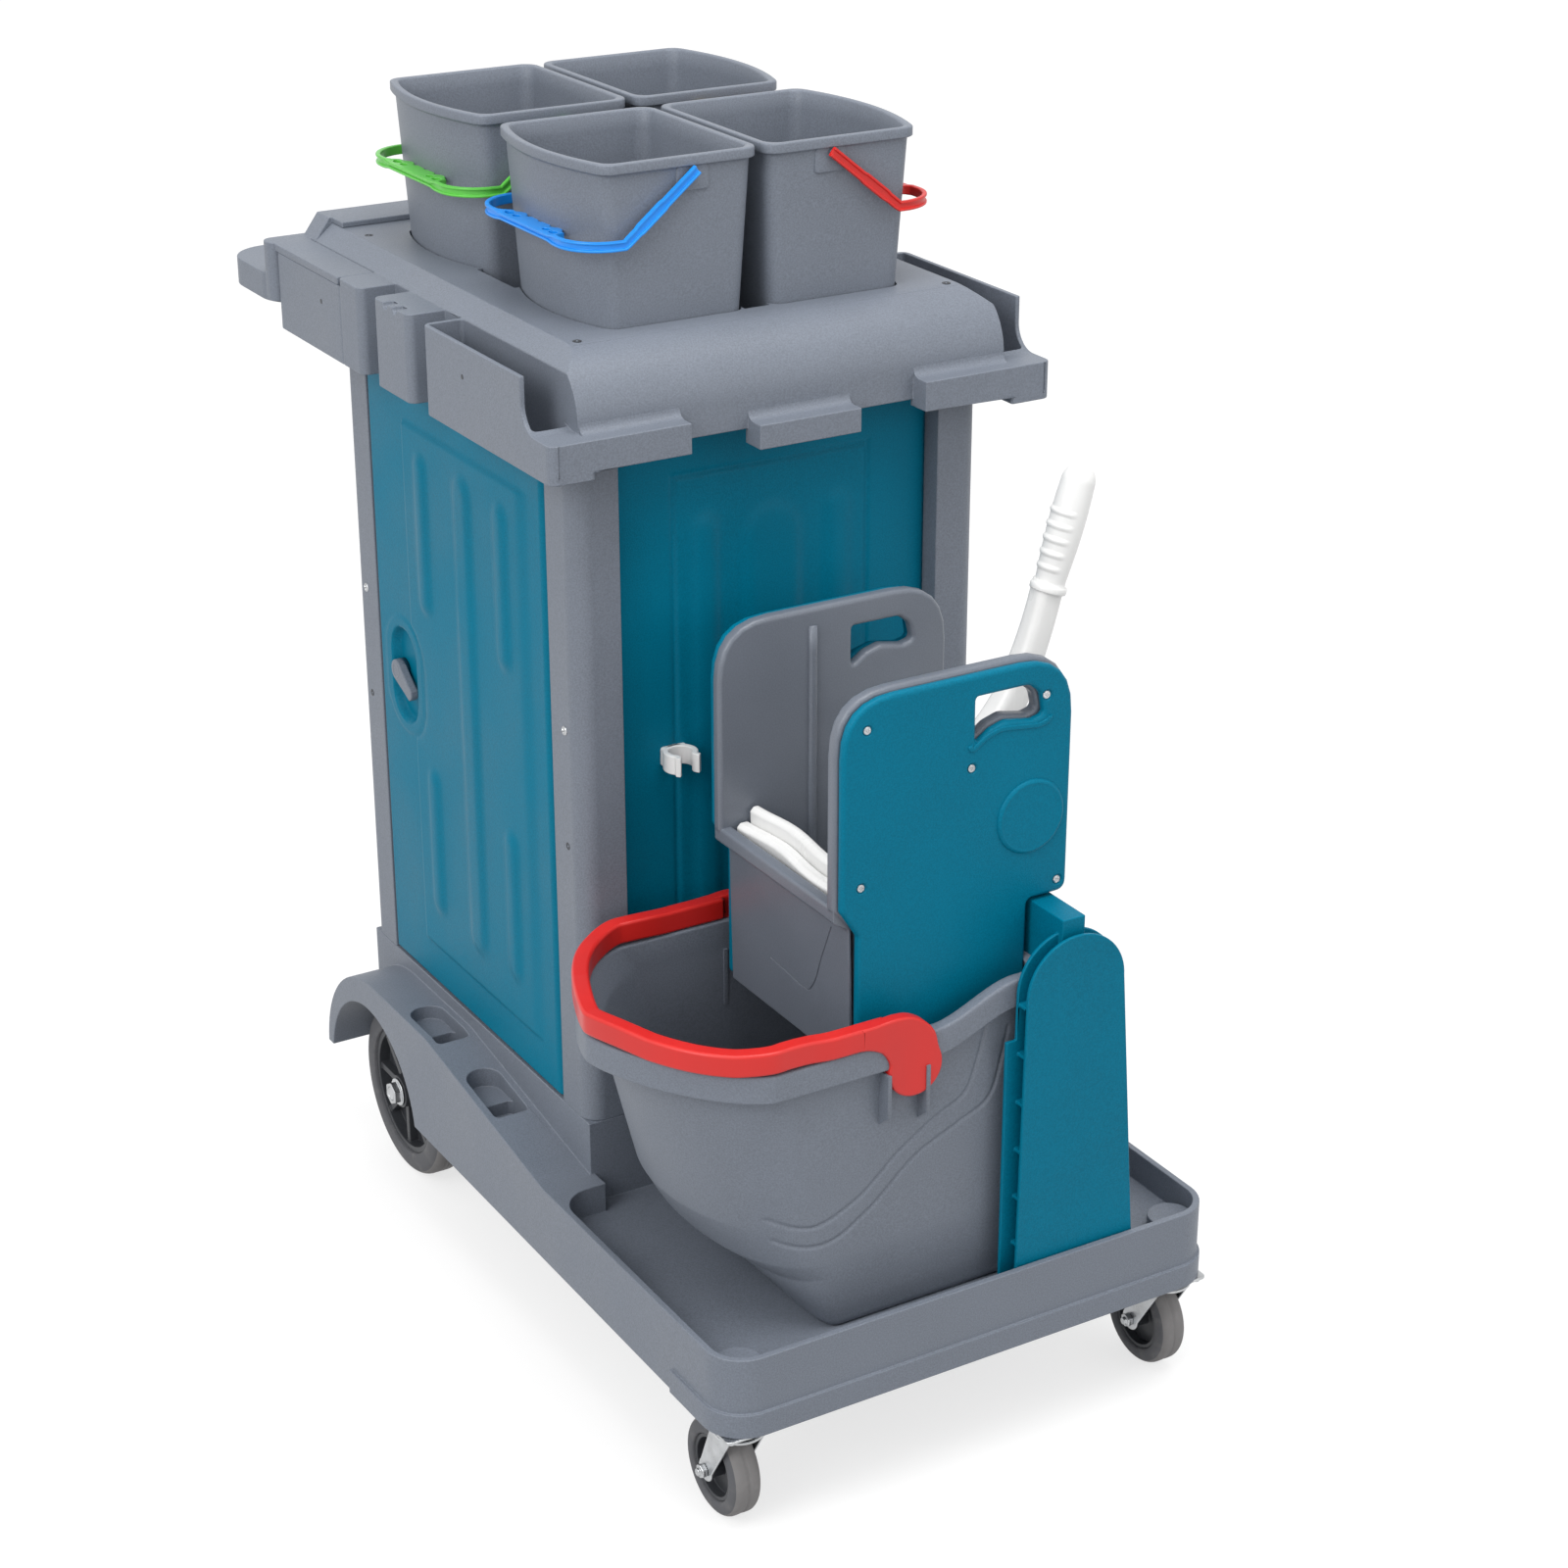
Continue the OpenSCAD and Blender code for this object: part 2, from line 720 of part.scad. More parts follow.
// Plan of a door: its hinge edge is round about the pin
module door_plan() {
    translate([-hinge_x, hinge_y]) circle(door_t / 2);
    translate([-hinge_x - door_t / 2, hinge_y]) square([door_t, door_y1 - hinge_y]);
}

module door(side) {
    z_mid = (door_z0 + door_z1) / 2;
    y_mid = (door_y0 + door_y1) / 2 - 20;
    rib_y = 62;
    shell = 5;
    shown(teal) on_side(side) difference() {
        union() {
            translate([0, 0, door_z0]) linear_extrude(door_z1 - door_z0) door_plan();
            along_x(-cab_half - rib_h, -cab_half + 1) {
                frame_line(door_y0 + 50, door_y1 - 90, door_z0 + 46, door_z1 - 46, 6);
                pill(y_mid, z_mid, 34, 300);
                for (y = [-1, 1], z = [-1, 1]) pill(y_mid + y * rib_y, z_mid + z * 205, 34, 130);
            }
        }
        // hollow back
        box(-cab_half + shell, -cab_half + door_t + over, hinge_y + door_t, latch_y - 56,
            door_z0 + 12, door_z1 - 12);
        // oval latch dish, latch bore and pin bores
        translate([0, latch_y - 18, latch_z]) along_x(-cab_half - 2 * rib_h, -cab_half + 9)
            flat(-32, 32, -54, 54, 31);
        translate([0, latch_y, latch_z])
            rod_x(-cab_half - over, -cab_half + door_t + over, latch_d + 2 * run_gap);
        for (z = [door_z0 - over, door_z1 - hinge_len]) translate([-hinge_x, hinge_y, z])
            cylinder(h = hinge_len + over, d = hinge_d + 2 * run_gap);
    }
}

module hinge_pins() {
    arm_t = 6;
    shown(zinc) both_sides() {
        translate([-hinge_x, hinge_y, plinth_z]) cylinder(h = door_gap + hinge_len - 2, d = hinge_d);
        translate([-hinge_x, hinge_y, door_z1 - hinge_len + 2])
            cylinder(h = hinge_len + door_gap, d = hinge_d);
        translate([0, 0, door_z1 + 1]) linear_extrude(arm_t) {
            translate([-hinge_x - 7, cab_front + post_y]) square([14, hinge_y - cab_front - post_y]);
            translate([-hinge_x, hinge_y]) circle(7);
        }
    }
}

module latch(side) {
    lever_l2 = 40;
    shown(grey) on_side(side) translate([0, latch_y, latch_z]) {
        rod_x(-cab_half - 2, -cab_half + door_t + seat + cam_t, latch_d);
        rod_x(-cab_half - 4, -cab_half + 8.6, latch_d + 10);
        along_x(-cab_half - 4, -cab_half + 5) rotate(-150) flat(-8, lever_l2, -8, 8, 7);
    }
}

module latch_cam(side) {
    x = -cab_half + door_t + seat;
    shown(zinc) on_side(side) translate([0, latch_y, latch_z]) difference() {
        along_x(x, x + cam_t) rotate(90) flat(-14, cam_reach, -11, 11, 8);
        rod_x(x - over, x + cam_t + over, latch_d);
    }
}

module post_screws() {
    lower_screw_h = 300;
    shown(zinc) both_sides() for (y = post_mids, h = [lower_screw_h, shelf_h + 3])
        translate([-cab_half, y, plinth_z + h]) rod_x(-2, 0, screw_head);
}

// TRAY

// Front view of the tray's raised core, in X and Z, drawn inwards by a wall
module core_front(inset) {
    half = core_half - inset;
    polygon([
        [-half, tray_z - inset], [half, tray_z - inset], [half, side_z - inset * 0.4],
        [top_half - inset * 0.4, top_z - inset], [-top_half + inset * 0.4, top_z - inset],
        [-half, side_z - inset * 0.4]
    ]);
}

// Side view of the core, in Y and Z, with its round front
module core_side(inset) {
    y1 = tray_rear - 12 - inset;
    arc_y = fascia_y + fascia_r;
    arc_z = top_z - fascia_r;
    translate([arc_y, tray_z - inset]) square([y1 - arc_y, top_h]);
    translate([fascia_y + inset, tray_z - inset]) square([y1 - fascia_y - inset, arc_z - tray_z + inset]);
    translate([arc_y, arc_z]) circle(fascia_r - inset, $fn = 96);
}

module core(inset) {
    intersection() {
        along_y(fascia_y, tray_rear) core_front(inset);
        along_x(-core_half, core_half) core_side(inset);
    }
}

// Room for the posts and doors under the tray's sides
module post_room() {
    box(-cab_half - 1, 0, fascia_y - 2 * ledge_out, tray_rear + over, tray_z - 2 * side_drop, tray_z);
}

// A side pocket between two stations, open below: its outline grows inwards into the core's wall
module side_pocket(y0, y1, top) {
    z0 = tray_z - side_drop;
    difference() {
        translate([0, 0, z0]) linear_extrude(top - z0)
            flat(-tray_half, -core_half + 2 * tray_wall, y0, y1, 9);
        translate([0, 0, z0 - over]) linear_extrude(top - z0 - tray_wall + over)
            flat(-tray_half + tray_wall, -core_half - 1, y0 + tray_wall, y1 - tray_wall, 4);
        post_room();
    }
}

// The front bin: open on top, its outer wall falls to the corner ledge
module side_bin() {
    z0 = tray_z - side_drop;
    floor_z = tray_z - 4;
    front_y = fascia_y - ledge_out;
    drop_r = 26;
    drop_y = fascia_y + drop_r + 8;
    difference() {
        translate([0, 0, z0]) linear_extrude(side_z - z0)
            flat(-tray_half, -core_half + 2 * tray_wall, front_y, bin_y1, 9);
        translate([0, 0, floor_z]) linear_extrude(side_z)
            flat(-tray_half + tray_wall, -core_half, drop_y - 14, bin_y1 - tray_wall, 4);
        translate([0, 0, z0 - over]) linear_extrude(floor_z - z0 - tray_wall + over)
            flat(-tray_half + tray_wall, -core_half - 1, front_y + tray_wall, bin_y1 - tray_wall, 4);
        post_room();
        box(-tray_half - over, 0, front_y - over, drop_y - drop_r, ledge_z, side_z + over);
        translate([0, drop_y - drop_r, ledge_z + drop_r]) along_x(-tray_half - over, 0) {
            square([drop_r, side_z]);
            circle(drop_r);
        }
    }
}

module tray() {
    well_x = well_w / 2 + tray_wall;
    well_end = well_l / 2 + tray_wall;
    ledge_in = tray_half - 147;
    boss_d = 24;
    shown(grey) difference() {
        union() {
            difference() {
                core(0);
                core(tray_wall);
            }
            translate([0, well_y, well_z - tray_wall]) linear_extrude(well_h)
                flat(-well_x, well_x, -well_end, well_end, 14);
            both_sides() {
                side_bin();
                side_pocket(block_y0, block_y1, side_z);
                side_pocket(tail_y0, pad_y0, side_z);
                side_pocket(pad_y0 - 2 * tray_wall, tray_rear, side_z - pad_t);
                // bosses that take the tray's screws down to the posts
                for (y = post_mids) translate([-cab_half + post_x / 2, y, tray_z + spigot_h])
                    cylinder(h = top_h - spigot_h - tray_wall / 2, d = boss_d);
                // corner ledge, running in along the front
                box(-tray_half + 8, -ledge_in, fascia_y - ledge_out, fascia_y + tray_wall,
                    tray_z - 7, ledge_z);
            }
            box(-56, 56, fascia_y - ledge_out, fascia_y + tray_wall, tray_z - side_drop, tray_z + 9);
        }
        translate([0, well_y, well_z]) linear_extrude(well_h + over)
            flat(-well_w / 2, well_w / 2, -well_l / 2, well_l / 2, 12);
        both_sides() {
            for (y = post_mids) translate([-cab_half + post_x / 2, y, tray_z + spigot_h - over])
                cylinder(h = top_h - spigot_h + 2 * over, d = screw_d);
            // two notches in the small block's upper edge
            for (y = [-1, 1]) translate([-tray_half, (block_y0 + block_y1) / 2 + y * 11, side_z])
                rod_x(-over, 12, 12);
        }
    }
}

module tray_screws() {
    shown(zinc) both_sides() for (y = post_mids)
        translate([-cab_half + post_x / 2, y, top_z]) {
            cylinder(h = 2.5, d = screw_head);
            translate([0, 0, -30]) cylinder(h = 30, d = screw_d);
        }
}

// Push handle: covers the tray's tail and carries a grip loop behind it
module push_handle() {
    wall_y0 = tray_rear + seat;
    wall_y1 = wall_y0 + 28;
    grip_z0 = tray_z + 6;
    grip_h = 30;
    strip = 6;
    half = tray_half + 5;
    grip_w = 36;
    shown(grey) {
        both_sides() box(-tray_half, -core_half - seat, pad_y0, wall_y0 + over, side_z - pad_t, side_z);
        translate([0, 0, tray_z + 12]) linear_extrude(side_h - 12) flat(-half, half, wall_y0, wall_y1, 12);
        along_y(tray_rear - 12, wall_y1 - 8) polygon([
            [-core_half, side_z - pad_t], [core_half, side_z - pad_t], [core_half, side_z],
            [top_half + 3, top_z + strip], [-top_half - 3, top_z + strip], [-core_half, side_z]
        ]);
        along_y(tray_rear - 40, tray_rear - 11) polygon([
            [-top_half, top_z], [top_half, top_z], [top_half, top_z + strip], [-top_half, top_z + strip]
        ]);
        translate([0, 0, grip_z0]) linear_extrude(grip_h) difference() {
            flat(-tray_half, tray_half, wall_y0, handle_rear, 46);
            flat(-tray_half + grip_w, tray_half - grip_w, wall_y1 + 6, handle_rear - grip_w, 20);
        }
    }
}

// Spring clip for a tool handle, on the front panel
module tool_clip() {
    x = -114;
    height = 366;
    y = cab_front + panel_in;
    bore = 26;
    wall = 4.5;
    foot_t = 5;
    clip_h = 20;
    shown(white) translate([x, y, plinth_z + height]) {
        box(-14, 14, -foot_t, 0, 0, clip_h);
        translate([0, -foot_t - bore / 2 - 0.5, 0]) difference() {
            cylinder(h = clip_h, d = bore + 2 * wall);
            translate([0, 0, -over]) cylinder(h = clip_h + 2 * over, d = bore);
            translate([-8, -bore, -over]) cube([16, bore, clip_h + 2 * over]);
        }
    }
}

// SMALL BUCKETS

// Points of an arc between two angles
function arc(centre, r, a0, a1) = [
    for (i = [0 : arc_n]) let (a = a0 + (a1 - a0) * i / arc_n) centre + r * [cos(a), sin(a)]
];

// The bulging side of a small bucket: how far left it lies at a station along the bucket
function bulge_x(w, l, y) = -w / 2 + pail_bulge * pow(2 * y / l, 2);

// One level of a small bucket about its middle, its bulging side to the left
function pail_level(w, l, z) =
    let (
        turn = 70,
        near = l / 2 - pail_r,
        bow_y = near + pail_r * cos(turn),
        cx = bulge_x(w, l, bow_y) + pail_r * sin(turn),
        plan = concat(
            arc([w / 2 - pail_r, -near], pail_r, -90, 0),
            arc([w / 2 - pail_r, near], pail_r, 0, 90),
            arc([cx, near], pail_r, 90, 90 + turn),
            [for (i = [1 : bow_n - 1]) let (y = bow_y * (1 - 2 * i / bow_n)) [bulge_x(w, l, y), y]],
            arc([cx, -near], pail_r, 270 - turn, 270)
        )
    )
    [for (p = plan) [p[0], p[1], z]];

module at_pail(side, back) {
    translate([side * pail_pitch_x, well_y + back * pail_pitch_y, well_z]) on_side(side) children();
}

module pail(side, back) {
    body_w = pail_w - 2 * pail_lip;
    body_l = pail_l - 2 * pail_lip;
    foot_in_w = body_w - 2 * pail_draft - 2 * pail_wall;
    foot_in_l = body_l - 2 * pail_draft - 2 * pail_wall;
    lip_z0 = pail_h - pail_lip_h;
    wall_y = body_l / 2 - pail_draft * (pail_h - bail_z) / pail_h;
    boss_d = 16;
    shown(grey) at_pail(side, back) {
        skin([
            pail_level(body_w - 2 * pail_draft, body_l - 2 * pail_draft, 0),
            pail_level(body_w, body_l, lip_z0),
            pail_level(pail_w, pail_l, lip_z0),
            pail_level(pail_w, pail_l, pail_h),
            pail_level(body_w - 2 * pail_wall, body_l - 2 * pail_wall, pail_h),
            pail_level(foot_in_w, foot_in_l, pail_wall)
        ]);
        for (a = [0, 180]) translate([bail_x, 0, bail_z]) rotate([0, 0, a]) {
            rod_y(wall_y - 2, pail_l / 2, boss_d);
            rod_y(wall_y - 2, bail_y + bail_t + 1, bail_pin_d);
        }
    }
}

// Plan of a bail: its grip is to the left, and its arms end at the pivots at x = 0
module bail_plan() {
    grip_w = 18;
    finger = 24;
    corner_r = 44;
    difference() {
        flat(-bail_l, 2 * corner_r, -bail_y - bail_t, bail_y + bail_t, corner_r);
        flat(-bail_l + grip_w, 4 * corner_r, -bail_y, bail_y, corner_r - bail_t);
        translate([0, -pail_l]) square([3 * corner_r, 2 * pail_l]);
        for (i = [-2 : 2]) translate([-bail_l + grip_w + finger * 0.35, i * finger]) circle(finger / 2);
        for (i = [-2 : 1]) translate([-bail_l + grip_w / 2, (i + 0.5) * finger]) circle(3);
    }
}

// Side view of a bail: the arms hang at their angle, and the grip runs level from the elbow
module bail_side() {
    elbow = [-bail_l * 0.6, -bail_l * 0.6 * tan(bail_drop)];
    strut([0, 0], elbow, bail_w);
    translate(elbow) circle(bail_w / 2);
    strut(elbow, [-bail_l, elbow[1]], bail_w);
}

module bail(side, back, tint) {
    eye_d = 18;
    shown(tint) at_pail(side, back) translate([bail_x, 0, bail_z]) difference() {
        union() {
            intersection() {
                translate([0, 0, -pail_h]) linear_extrude(2 * pail_h) bail_plan();
                along_y(-pail_l, pail_l) bail_side();
            }
            for (y = [-bail_y - bail_t, bail_y]) rod_y(y, y + bail_t, eye_d);
        }
        rod_y(-pail_l, pail_l, bail_pin_d + 2 * run_gap);
    }
}

// MOP BUCKET

function bent(v, power) = sign(v) * pow(abs(v), 2 / power);

// Rise of the lip towards the straight end, from 0 to 1
function lift(x) = (1 - cos(180 * min(1, max(0, (x - mop_pivot_x - 24) / 94)))) / 2;

function level_point(angle, x0, reach, half, power, z, rise) =
    let (x = x0 + reach * bent(cos(angle), power)) [x, half * bent(sin(angle), power), z + rise * lift(x)];

// The nose side of one level, from its front to its rear
function nose_side(nose, tip, half, power, z, rise) = [
    for (i = [0 : ring_n]) level_point(90 + 180 * i / ring_n, nose + tip, tip, half, power, z, rise)
];

// The points between the ends of a long side, which is a little hollow
function long_side(x0, x1, y, z, rise) = [
    for (i = [1 : side_n - 1]) let (
        x = x0 + (x1 - x0) * i / side_n,
        in_y = side_bow * sin(180 * i / side_n)
    ) [x, y - sign(y) * in_y, z + rise * lift(x)]
];

// One closed level of the bucket: a blunt end on the right, the nose on the left
function level(nose, tip, end, half, power, z, rise) = concat(
    [
        for (i = [0 : ring_n])
            level_point(-90 + 180 * i / ring_n, end - end_r, end_r, half, end_power, z, rise)
    ],
    long_side(end - end_r, nose + tip, half, z, rise),
    nose_side(nose, tip, half, power, z, rise),
    long_side(nose + tip, end - end_r, -half, z, rise)
);

// Outer levels from the foot up to the lip, drawn inwards by a wall
function body_levels(inset) = [
    level(-145 + inset, 25, mop_end - 8 - inset, mop_half - 8 - inset, 5, bay_z + inset, 0),
    level(-163 + inset, 34, mop_end - 8 - inset, mop_half - 6 - inset, 4, bay_z + mop_h * 0.08 + inset, 0),
    level(-198 + inset, 60, mop_end - 7 - inset, mop_half - 4 - inset, 2.6, bay_z + mop_h * 0.2 + inset, 0),
    level(-224 + inset, 76, mop_end - 6 - inset, mop_half - 3 - inset, 2.2, bay_z + mop_h * 0.26 + inset, 0),
    level(-248 + inset, 90, mop_end - 5 - inset, mop_half - 2 - inset, 1.9, bay_z + mop_h * 0.39, 0),
    level(-294 + inset, 100, mop_end - 4 - inset, mop_half - inset, 1.6, lip_z - lip_h, mop_rise)
];

module mop_bucket() {
    inner = body_levels(mop_wall);
    notch = hub_d / 2 + 4;
    levels = concat(
        body_levels(0),
        [
            level(mop_nose, 112, mop_end, mop_w / 2, 1.45, lip_z - lip_h, mop_rise),
            level(mop_nose, 112, mop_end, mop_w / 2, 1.45, lip_z, mop_rise),
            level(-288, 96, mop_end - 12, mop_half - 6, 1.6, lip_z, mop_rise)
        ],
        [for (k = [5 : -1 : 0]) inner[k]]
    );
    shown(grey) translate([0, mop_y, 0]) {
        difference() {
            skin(levels);
            for (side = [-1, 1]) translate([mop_pivot_x, 0, 0]) {
                in_y = mop_half - seat;
                y = side > 0 ? in_y : -in_y - 3 * lip_out;
                box(-notch, notch, y, y + 3 * lip_out, mop_pivot_z - notch, lip_z + mop_rise);
            }
            // the lip gives way to the stand's legs where they stand close
            if (mop_w / 2 > leg_y - leg_room) for (back = [0, 1]) mirror([0, back, 0])
                box(leg_x0 - leg_flange - leg_room, mop_end + over, leg_y - leg_room, leg_y + leg_t,
                    bay_z - over, lip_z + mop_rise + over);
        }
        for (a = [0, 180]) translate([mop_pivot_x, 0, mop_pivot_z]) rotate([0, 0, a]) {
            rod_y(mop_half - 2, mop_half + hub_pin_l, hub_pin_d);
            for (x = [-9, 9])
                box(x - 3, x + 3, mop_half - mop_wall / 2, mop_half + 6, -notch - 18, -notch - seat);
        }
    }
}

module mop_bail() {
    z0 = lip_z + seat;
    outer_half = mop_half + hub_t + seat;
    start_x = mop_pivot_x - 14;
    z1 = z0 + mop_bail_h;
    outer = [mop_nose - bail_over, 114, outer_half];
    inner = [mop_nose + 26, 98, outer_half - mop_bail_w];
    rows = [concat(outer, z0), concat(inner, z0), concat(inner, z1), concat(outer, z1)];
    lines = [for (r = rows) concat(
        [[start_x, r[2], r[3]]], nose_side(r[0], r[1], r[2], 1.5, r[3], 0), [[start_x, -r[2], r[3]]]
    )];
    n = len(lines[0]);
    sections = [for (i = [0 : n - 1]) [for (line = lines) line[i]]];
    hub_y = mop_half + seat;
    shown(red) translate([0, mop_y, 0]) {
        skin(sections);
        for (a = [0, 180]) translate([mop_pivot_x, 0, mop_pivot_z]) rotate([0, 0, a]) difference() {
            union() {
                rod_y(hub_y, outer_half, hub_d);
                mirror([a / 180, 0, 0])
                    box(-hub_d / 2, -14, hub_y, outer_half, 6, lip_z - mop_pivot_z + mop_bail_h);
            }
            rod_y(hub_y - over, mop_half + hub_pin_l + seat, hub_pin_d + 2 * run_gap);
        }
    }
}

// WRINGER

// Outline of a side plate in X and Z: a wide upper part on a narrow neck
module plate_outline(inset) {
    x0 = press_x0 + inset;
    x1 = press_x1 - inset;
    r = plate_r - inset;
    flat(x0, x1, shoulder_z + inset, press_top - r, 8);
    flat(x0, x1, shoulder_z + plate_r, press_top - inset, r);
    flat(neck_x0 + inset, neck_x1 - inset, neck_z + inset, shoulder_z + plate_r, 8);
}

module hand_hole() {
    from_left = 149;
    hole_w = 68;
    below_top = 28;
    hole_h = 42;
    translate([press_x0 + from_left, press_top - below_top - hole_h]) flat(0, hole_w, 0, hole_h, 13);
}

module at_pivot() {
    translate([pivot_x, mop_y, pivot_z]) children();
}

module press_body() {
    tie_h = 24;
    slots = 5;
    shown(grey) translate([0, mop_y, 0]) difference() {
        union() {
            for (y = [-plate_y, inner_half]) along_y(y, y + plate_t) difference() {
                plate_outline(0);
                hand_hole();
            }
            along_y(-inner_half - over, inner_half + over) {
                polygon([[neck_x0, neck_z], [neck_x0 + 8, neck_z], [neck_x0 - 6, shoulder_z + 40],
                    [neck_x0 - 14, shoulder_z + 40]]);
                translate([neck_x0, neck_z]) square([neck_x1 - neck_x0, base_t]);
                translate([neck_x1 - base_t, neck_z]) square([base_t, shoulder_z - neck_z + base_t]);
                translate([neck_x1 - base_t, shoulder_z]) square([press_x1 - neck_x1 + base_t, base_t]);
                translate([press_x1 - base_t, shoulder_z]) square([base_t, tie_h]);
            }
        }
        translate([pivot_x, 0, pivot_z]) rod_y(-press_w, press_w, pivot_d);
        for (i = [0 : slots - 1]) translate([neck_x0 + 30 + 30 * i, 0, neck_z - over])
            linear_extrude(base_t + 2 * over) flat(-5, 5, -inner_half + 24, inner_half - 24, 4.5);
    }
}

// Cover with a raised ring around the axle's end, at the front or turned to the rear
module press_cover(back) {
    ring_r = 36;
    shown(teal) translate([0, mop_y, 0]) mirror([0, back, 0]) {
        along_y(-press_w / 2, -plate_y) difference() {
            plate_outline(3);
            hand_hole();
        }
        translate([pivot_x, 0, pivot_z]) difference() {
            rod_y(-press_w / 2 - 2, -press_w / 2 + 1, 2 * ring_r);
            rod_y(-press_w / 2 - 3, -press_w / 2, 2 * ring_r - 8);
        }
    }
}

module cover_screws() {
    spots = [
        [press_x0 + 29, press_top - 33], [press_x1 - 33, press_top - 39], [press_x0 + 143, press_top - 95],
        [press_x0 + 24, shoulder_z + 60], [press_x1 - 14, shoulder_z + 16]
    ];
    shown(zinc) translate([0, mop_y, 0]) for (back = [0, 1], p = spots) mirror([0, back, 0])
        translate([p[0], 0, p[1]]) rod_y(-press_w / 2 - 1.5, -press_w / 2, screw_head);
}

module press_axle() {
    shown(zinc) at_pivot() rod_y(-plate_y, plate_y, pivot_d);
}

module press_lever() {
    hub_half = crank_y + 8;
    crank_tip = [crank_l * sin(crank_a), -crank_l * cos(crank_a)];
    shown(white) at_pivot() difference() {
        union() {
            rod_y(-hub_half, hub_half, lever_hub_d);
            along_y(-lever_w / 2, lever_w / 2) for (i = [0 : 2]) {
                strut(lever_path[i], lever_path[i + 1], lever_w - 2 * lever_taper * i);
                translate(lever_path[i + 1]) circle(lever_w / 2 - lever_taper * i + knuckle);
            }
            for (y = [-crank_y - 6, crank_y - 6]) along_y(y, y + 12) {
                strut([0, 0], crank_tip, 2 * crank_r - knuckle);
                translate(crank_tip) circle(crank_r);
            }
        }
        rod_y(-press_w, press_w, pivot_d + 2 * run_gap);
    }
}

module lever_grip() {
    run = lever_path[4] - lever_path[3];
    grip_l = norm(run);
    grip_d = 27;
    rings = 9;
    lean = 90 - atan2(run[1], run[0]);
    shown(white) at_pivot() translate([lever_path[3][0], 0, lever_path[3][1]]) rotate([0, lean, 0])
        difference() {
            union() {
                cylinder(h = grip_l - grip_d / 2, d = grip_d);
                translate([0, 0, grip_l - grip_d / 2]) sphere(d = grip_d);
                for (i = [0 : rings - 1]) translate([0, 0, lever_w / 2 + (i + 0.5) * grip_l * 0.8 / rings])
                    cylinder(h = 4, d = grip_d + 3);
            }
            rod_y(-lever_w, lever_w, lever_w - 2 * lever_taper * 2 + 2 * knuckle);
        }
}

module moving_jaw() {
    z0 = neck_z + base_t + seat;
    wide = inner_half - 3;
    push_x = pivot_x + crank_l * sin(crank_a) - crank_r - jaw_slack;
    tip_z = pivot_z - crank_l * cos(crank_a);
    horn_h = 23;
    horn_drop = 2;
    shown(white) translate([0, mop_y, 0]) {
        box(jaw_x - jaw_t, jaw_x, -wide, wide, z0, pivot_z - 10);
        for (y = [-crank_y, crank_y]) box(jaw_x - 1, push_x, y - 8, y + 8,
            tip_z - horn_drop - horn_h, tip_z - horn_drop);
        for (i = [-4 : 4]) translate([jaw_x - jaw_t, i * 20, z0]) cylinder(h = pivot_z - 10 - z0, r = 5);
    }
}

module fixed_jaw() {
    over_shoulder = 48;
    z0 = neck_z + base_t;
    z1 = shoulder_z + over_shoulder;
    shown(white) translate([0, mop_y, 0]) {
        along_y(-inner_half + 2, inner_half - 2)
            polygon([[neck_x0 + 8, z0], [neck_x0 + 22, z0], [neck_x0 + 14, z1], [neck_x0 - 6, z1]]);
        for (i = [-4 : 4]) translate([neck_x0 + 16, i * 20, z0]) cylinder(h = z1 - z0 - 8, r = 6);
    }
}

// Outline of a stand leg in X and Z, drawn inwards for its core
module leg_outline(inset) {
    foot = inset > 0 ? 12 : 0;
    polygon([
        [leg_x0 + inset, bay_z + foot], [leg_x0 + leg_w - inset, bay_z + foot],
        [leg_cx + leg_top_r - inset, leg_top_z], [leg_cx - leg_top_r + inset, leg_top_z]
    ]);
    translate([leg_cx, leg_top_z]) circle(leg_top_r - inset);
}

module press_stand() {
    rungs = 6;
    rung_pitch = 52;
    rung_t = 4;
    bar_y = leg_y + leg_t / 2;
    step_h = 273;
    shown(teal) translate([0, mop_y, 0]) {
        for (back = [0, 1]) mirror([0, back, 0]) {
            along_y(-leg_y - leg_t, -leg_y - leg_t + leg_plate) leg_outline(0);
            along_y(-leg_y - leg_t + leg_plate - 1, -leg_y - 1) leg_outline(14);
            along_y(-leg_y - leg_plate, -leg_y) {
                leg_outline(0);
                translate([leg_x0 - leg_flange, bay_z]) square([leg_w / 2, step_h]);
            }
            for (i = [1 : rungs]) box(leg_x0 + 5, leg_cx, -leg_y - leg_t + 1, -leg_y - 1,
                bay_z + i * rung_pitch - rung_t, bay_z + i * rung_pitch);
        }
        difference() {
            box(bar_x0, bar_x0 + bar_w, -bar_y, bar_y, shoulder_z - bar_h, shoulder_z);
            box(bar_x0 + bar_wall, bar_x0 + bar_w - bar_wall, -leg_y, leg_y,
                shoulder_z - bar_h - over, shoulder_z - bar_wall);
        }
    }
}

deck();
rear_axle();
axle_nuts();
rear_rim(-1);  // rear_rim_left
rear_rim(1);  // rear_rim_right
rear_tyre(-1);  // rear_tyre_left
rear_tyre(1);  // rear_tyre_right
caster_plate(-1);  // caster_plate_left
caster_plate(1);  // caster_plate_right
caster_fork(-1);  // caster_fork_left
caster_fork(1);  // caster_fork_right
caster_bolt(-1);  // caster_bolt_left
caster_bolt(1);  // caster_bolt_right
caster_rim(-1);  // caster_rim_left
caster_rim(1);  // caster_rim_right
caster_tyre(-1);  // caster_tyre_left
caster_tyre(1);  // caster_tyre_right
post(-1, 0);  // front_left_post
post(1, 0);  // front_right_post
post(-1, 1);  // rear_left_post
post(1, 1);  // rear_right_post
front_panel();
rear_panel();
shelf();
door(-1);  // door_left
door(1);  // door_right
hinge_pins();
latch(-1);  // latch_left
latch(1);  // latch_right
